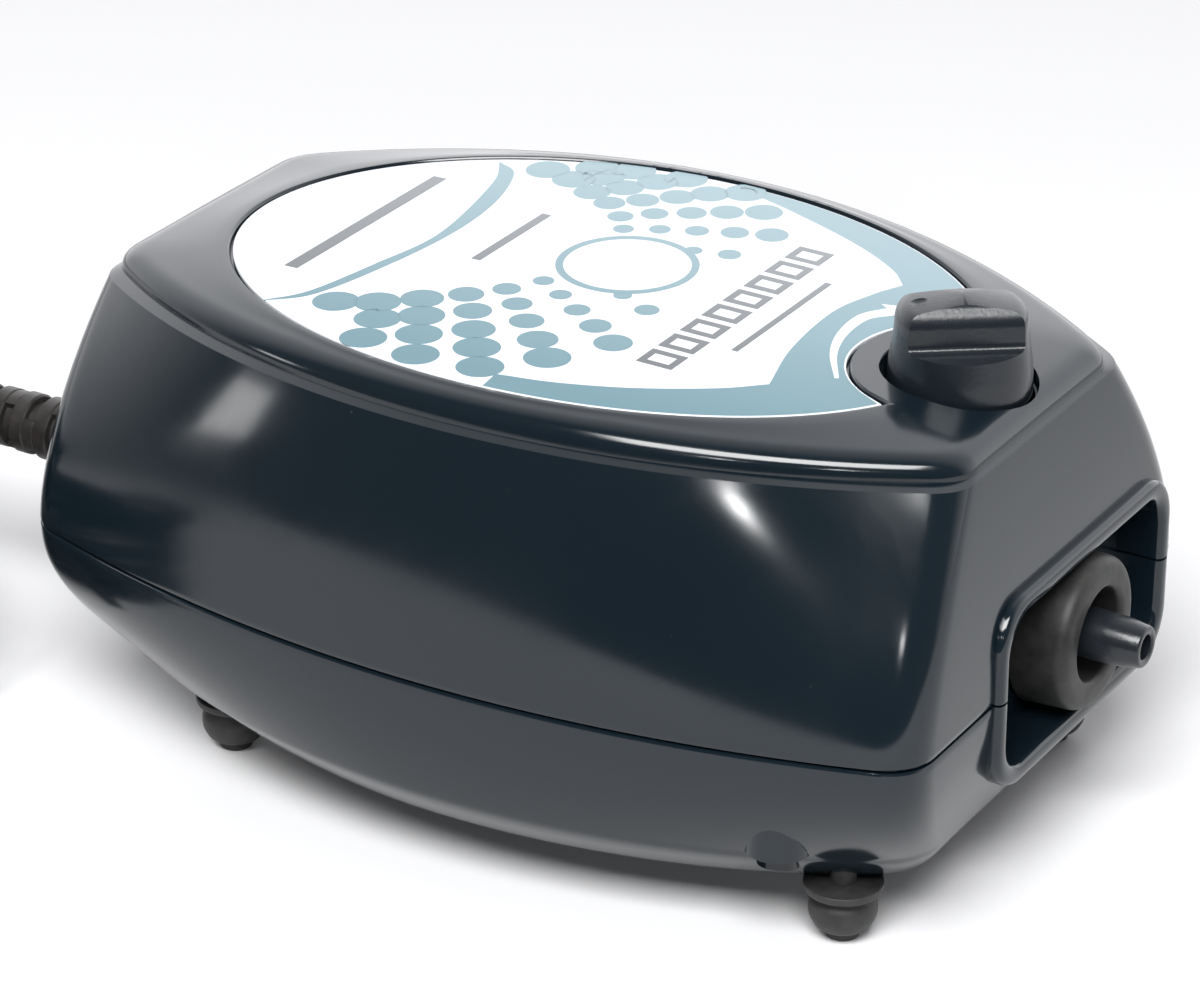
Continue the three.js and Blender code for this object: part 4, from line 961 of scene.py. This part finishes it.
# dots that grow with their distance from the ring, then the ring, swoosh, band and arrow as films
def makePrint():
    s = printSettings
    cx, cy, radius, wide = s["ring"]
    dots = []
    for row in s["dots"]:
        for x, y in row:
            away = math.hypot(x - cx, y - cy)
            dots.append(disc(x, y, min(2.75, 1.1 + 1.75 * (away - 9) / 20)))
    angle = np.linspace(0, 2 * np.pi, 97)
    circle = np.column_stack([np.cos(angle), np.sin(angle)])
    ring = film(circle * (radius - wide / 2) + (cx, cy), circle * (radius + wide / 2) + (cx, cy), 1.4)
    swoosh = film(through(s["swooshLeft"], 60), through(s["swooshRight"], 60))
    inner = np.vstack([through(part, 70)[int(k > 0):] for k, part in enumerate(s["band"])])
    polar = np.arctan2(inner[:, 1], inner[:, 0])
    reach = labelReach(polar, -0.55)[:, None]
    outer = reach * np.column_stack([np.cos(polar), np.sin(polar)])
    band = film(inner, outer)
    points, faces = joined(*dots, ring, swoosh, band)
    settle(newObject("tealPrint", points, faces, "teal"), instead=("top_label",))
    spine = through(s["arrow"], 40)
    tangent = np.gradient(spine, axis=0)
    normal = np.column_stack([-tangent[:, 1], tangent[:, 0]])
    normal /= np.linalg.norm(normal, axis=1, keepdims=True)
    t = np.linspace(0, 1, 40)[:, None]
    half = 0.25 + 0.75 * t
    arrow = film(spine - normal * half, spine + normal * half, 1.8)
    tip = spine[-1] + tangent[-1] / np.linalg.norm(tangent[-1]) * 2.6
    left, right = spine[-1] - normal[-1] * 2.3, spine[-1] + normal[-1] * 2.3
    point = normal[-1] * 0.1
    head = film(np.linspace(left, tip - point, 8), np.linspace(right, tip + point, 8), 1.8)
    points, faces = joined(arrow, head)
    settle(newObject("whitePrint", points, faces, "label"), instead=("top_label",))


# plain blocks where the lettering would be: a row of outlined bars and two fine lines
def makeBlocks():
    parts = []
    for k, y in enumerate(np.linspace(-15.8, 18.2, 8)):
        low, high = 15.2, 19.8
        bar = np.array([[low, y - 1.9], [high, y - 1.9], [high, y + 1.9], [low, y + 1.9], [low, y - 1.9]])
        middle = np.array([(low + high) / 2, y])
        outer = np.vstack([np.linspace(a, b, 6)[:-1] for a, b in zip(bar[:-1], bar[1:])] + [bar[-1:]])
        parts.append(film(middle + (outer - middle) * (0.62, 0.52), outer, 1.4))
    for x, y0, y1, wide in ((-33.2, -15.5, 16.5, 0.9), (-15.5, -3.0, 12.8, 0.6), (23.2, -9.5, 12.5, 0.4)):
        ends = np.linspace((x, y0), (x, y1), 30)
        parts.append(film(ends - (wide, 0), ends + (wide, 0), 1.4))
    points, faces = joined(*parts)
    return settle(newObject("greyPrint", points, faces, "grey"), instead=("top_label",))


makeLabel()
makePrint()
makeBlocks()
print("label made")


# four turned feet: a sole, a ball, a neck and a flange under the casing
def makeFeet():
    profile = [(0, 0, 0), (1.96, 0, 0.3), (1.96, 1.2, 0.2), (3.12, 1.4, 0.8), (4.0, 3.0, 2), (3.9, 4.6, 1.6),
               (3.36, 5.3, 0.5), (3.36, 5.95, 0.3), (4.6, 6.15, 0.4), (4.6, 7.1, 0.2), (1.5, 7.1, 0),
               (1.5, 10, 0.4), (0, 10.5, 0)]
    for corner in cornerNames:
        foot = turnedSolid(profile, "z", uprightAt("foot_" + corner), sides=64, steps=7)
        name = "foot" + corner.title().replace("_", "")
        settle(newObject(name, *foot, "foot"), instead=("foot_" + corner,))


# a ribbed boot: the grooves between its ribs are bridged at two sides, turned a quarter each time
def makeRelief():
    start, end, ribs = relief["start"], relief["end"], relief["ribs"]
    pitch = (start - 3 - end) / ribs
    profile = [(0, -56.0), (5.2, -56.0), (5.4, -56.2), (5.4, -57.5), (3.6, -57.7), (3.6, start),
               (5.0, start), (5.3, start - 0.3), (5.3, start - 1.7), (5.0, start - 2),
               (3.3, start - 2.05), (3.3, start - 2.9)]
    bridged = [0] * len(profile)
    for i in range(ribs):
        radius, near = mix(relief["nearRadius"], relief["farRadius"], i / (ribs - 1)), start - 3 - i * pitch
        for r, x in ((radius - 0.25, 0), (radius, 0.25), (radius, 0.58 * pitch - 0.25),
                     (radius - 0.25, 0.58 * pitch)):
            profile.append((r, near - x))
            bridged.append(0)
        for x in (0.6, 0.98):
            profile.append((radius - relief["groove"], near - x * pitch))
            bridged.append(1 + i % 2 if i < ribs - 1 else 0)
    profile = np.array(profile + [(2.95, end), (0, end)])
    kind = np.array(bridged + [0, 0])[:, None]
    angle = np.linspace(0, 2 * np.pi, 96, endpoint=False)
    web = np.where(kind == 1, np.abs(np.cos(angle)), np.abs(np.sin(angle)))
    radius = profile[:, :1] + np.where((kind > 0) & (web > 0.82), relief["bridge"], 0)
    grid = np.stack([profile[:, 1:] * np.ones(96), relief["y"] + radius * np.cos(angle),
                     shape["seamHeight"] + radius * np.sin(angle)], axis=-1)
    piece = newObject("reliefBoot", *closedSkin(placed(grid)), "relief")
    return settle(piece, instead=("strain_relief",))


makeFeet()
boot = makeRelief()
print("feet and relief made")


# the hub is held between the clamps and goes with the arm; the ribbed web round it is held by the head
def makeDiaphragm():
    low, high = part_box("diaphragm")
    centre = ((low.x + high.x) / 2, 0, (low.z + high.z) / 2)
    front, back = high.y / mm - 1.45, high.y / mm - 0.05
    hub = turnedSolid([(1.8, front, 0), (6, front, 0.4), (6, back, 0.4), (1.8, back, 0), (1.8, front, 0)],
                      "y", centre, sides=64)
    web = turnedSolid([(6.3, front, 0), (7.6, front - 0.8, 0.7), (8.9, front, 0.3), (11, front, 0),
                       (11, back, 0), (8.9, back, 0.3), (7.6, back - 0.8, 0.7), (6.3, back, 0),
                       (6.3, front, 0)], "y", centre, sides=96)
    settle(newObject("diaphragmHub", *hub, "black"), body="arm", instead=("diaphragm",))
    settle(newObject("diaphragmWeb", *web, "black"), instead=("diaphragm",))


makeDiaphragm()


stageSettings = {"back": 0.9, "front": -0.24, "side": 0.9}


def makeFloor():
    s = stageSettings
    corners = [(-s["side"], s["front"], 0), (s["side"], s["front"], 0), (s["side"], s["back"], 0),
               (-s["side"], s["back"], 0)]
    mesh = bpy.data.meshes.new("paleFloor")
    mesh.from_pydata(corners, [], [(0, 1, 2, 3)])
    mesh.materials.append(newMaterial("paleFloor", (0.86, 0.86, 0.87), 0.7))
    addObject("paleFloor", mesh)


# pale behind the object, dark on the camera's side and below
def makeSky():
    world = bpy.data.worlds.new("studio")
    bpy.context.scene.world = world
    world.use_nodes = True
    tree = world.node_tree
    background = tree.nodes["Background"]
    way = addNode(tree, "ShaderNodeNewGeometry")
    behind = addNode(tree, "ShaderNodeVectorMath", operation="DOT_PRODUCT")
    behind.inputs[1].default_value = (0.2, -0.98, 0)
    ramp = addNode(tree, "ShaderNodeValToRGB")
    spread = addNode(tree, "ShaderNodeMapRange", From_Min=-1, From_Max=1)
    wire(tree, way, "Incoming", behind, 0)
    wire(tree, behind, "Value", spread, "Value")
    wire(tree, spread, "Result", ramp, "Fac")
    stops = ((0.0, 0.03), (0.4, 0.08), (0.62, 0.7), (0.85, 1.0))
    for place, level in stops[2:]:
        ramp.color_ramp.elements.new(place)
    for element, (place, level) in zip(ramp.color_ramp.elements, stops):
        element.position = place
        element.color = (level, level, level * 1.02, 1)
    split = addNode(tree, "ShaderNodeSeparateXYZ")
    rise = addNode(tree, "ShaderNodeMapRange", From_Min=-0.95, From_Max=-0.35, To_Min=0.5, To_Max=1.0)
    level = addNode(tree, "ShaderNodeVectorMath", operation="SCALE")
    wire(tree, way, "Incoming", split, "Vector")
    wire(tree, split, "Z", rise, "Value")
    wire(tree, ramp, "Color", level, 0)
    wire(tree, rise, "Result", level, "Scale")
    wire(tree, level, "Vector", background, "Color")
    path = addNode(tree, "ShaderNodeLightPath")
    strength = addNode(tree, "ShaderNodeMapRange", To_Min=2.1, To_Max=0.6)
    wire(tree, path, "Is Diffuse Ray", strength, "Value")
    wire(tree, strength, "Result", background, "Strength")


# a rectangular lamp that faces its target
def softBox(name, place, target, size, power):
    data = bpy.data.lights.new(name, "AREA")
    data.shape = "RECTANGLE"
    data.size, data.size_y = size
    data.energy = power
    aim(addObject(name, data), place, Vector(target) - Vector(place))


makeFloor()
makeSky()
softBox("frontTop", (0.35, -0.85, 1.2), (0, -0.05, 0), (1.0, 0.6), 33.0)
softBox("lampOne", (0.30, -1.08, 0.55), (0.03, -0.03, 0.05), (0.05, 0.04), 0.45)
softBox("lampTwo", (0.62, -0.95, 0.46), (0.04, -0.03, 0.05), (0.06, 0.04), 0.4)
softBox("sideBox", (-0.8, -0.5, 0.12), (-0.03, -0.03, 0.05), (0.12, 0.10), 0.22)
bpy.context.scene.view_settings.view_transform = "Standard"
print("stage made")
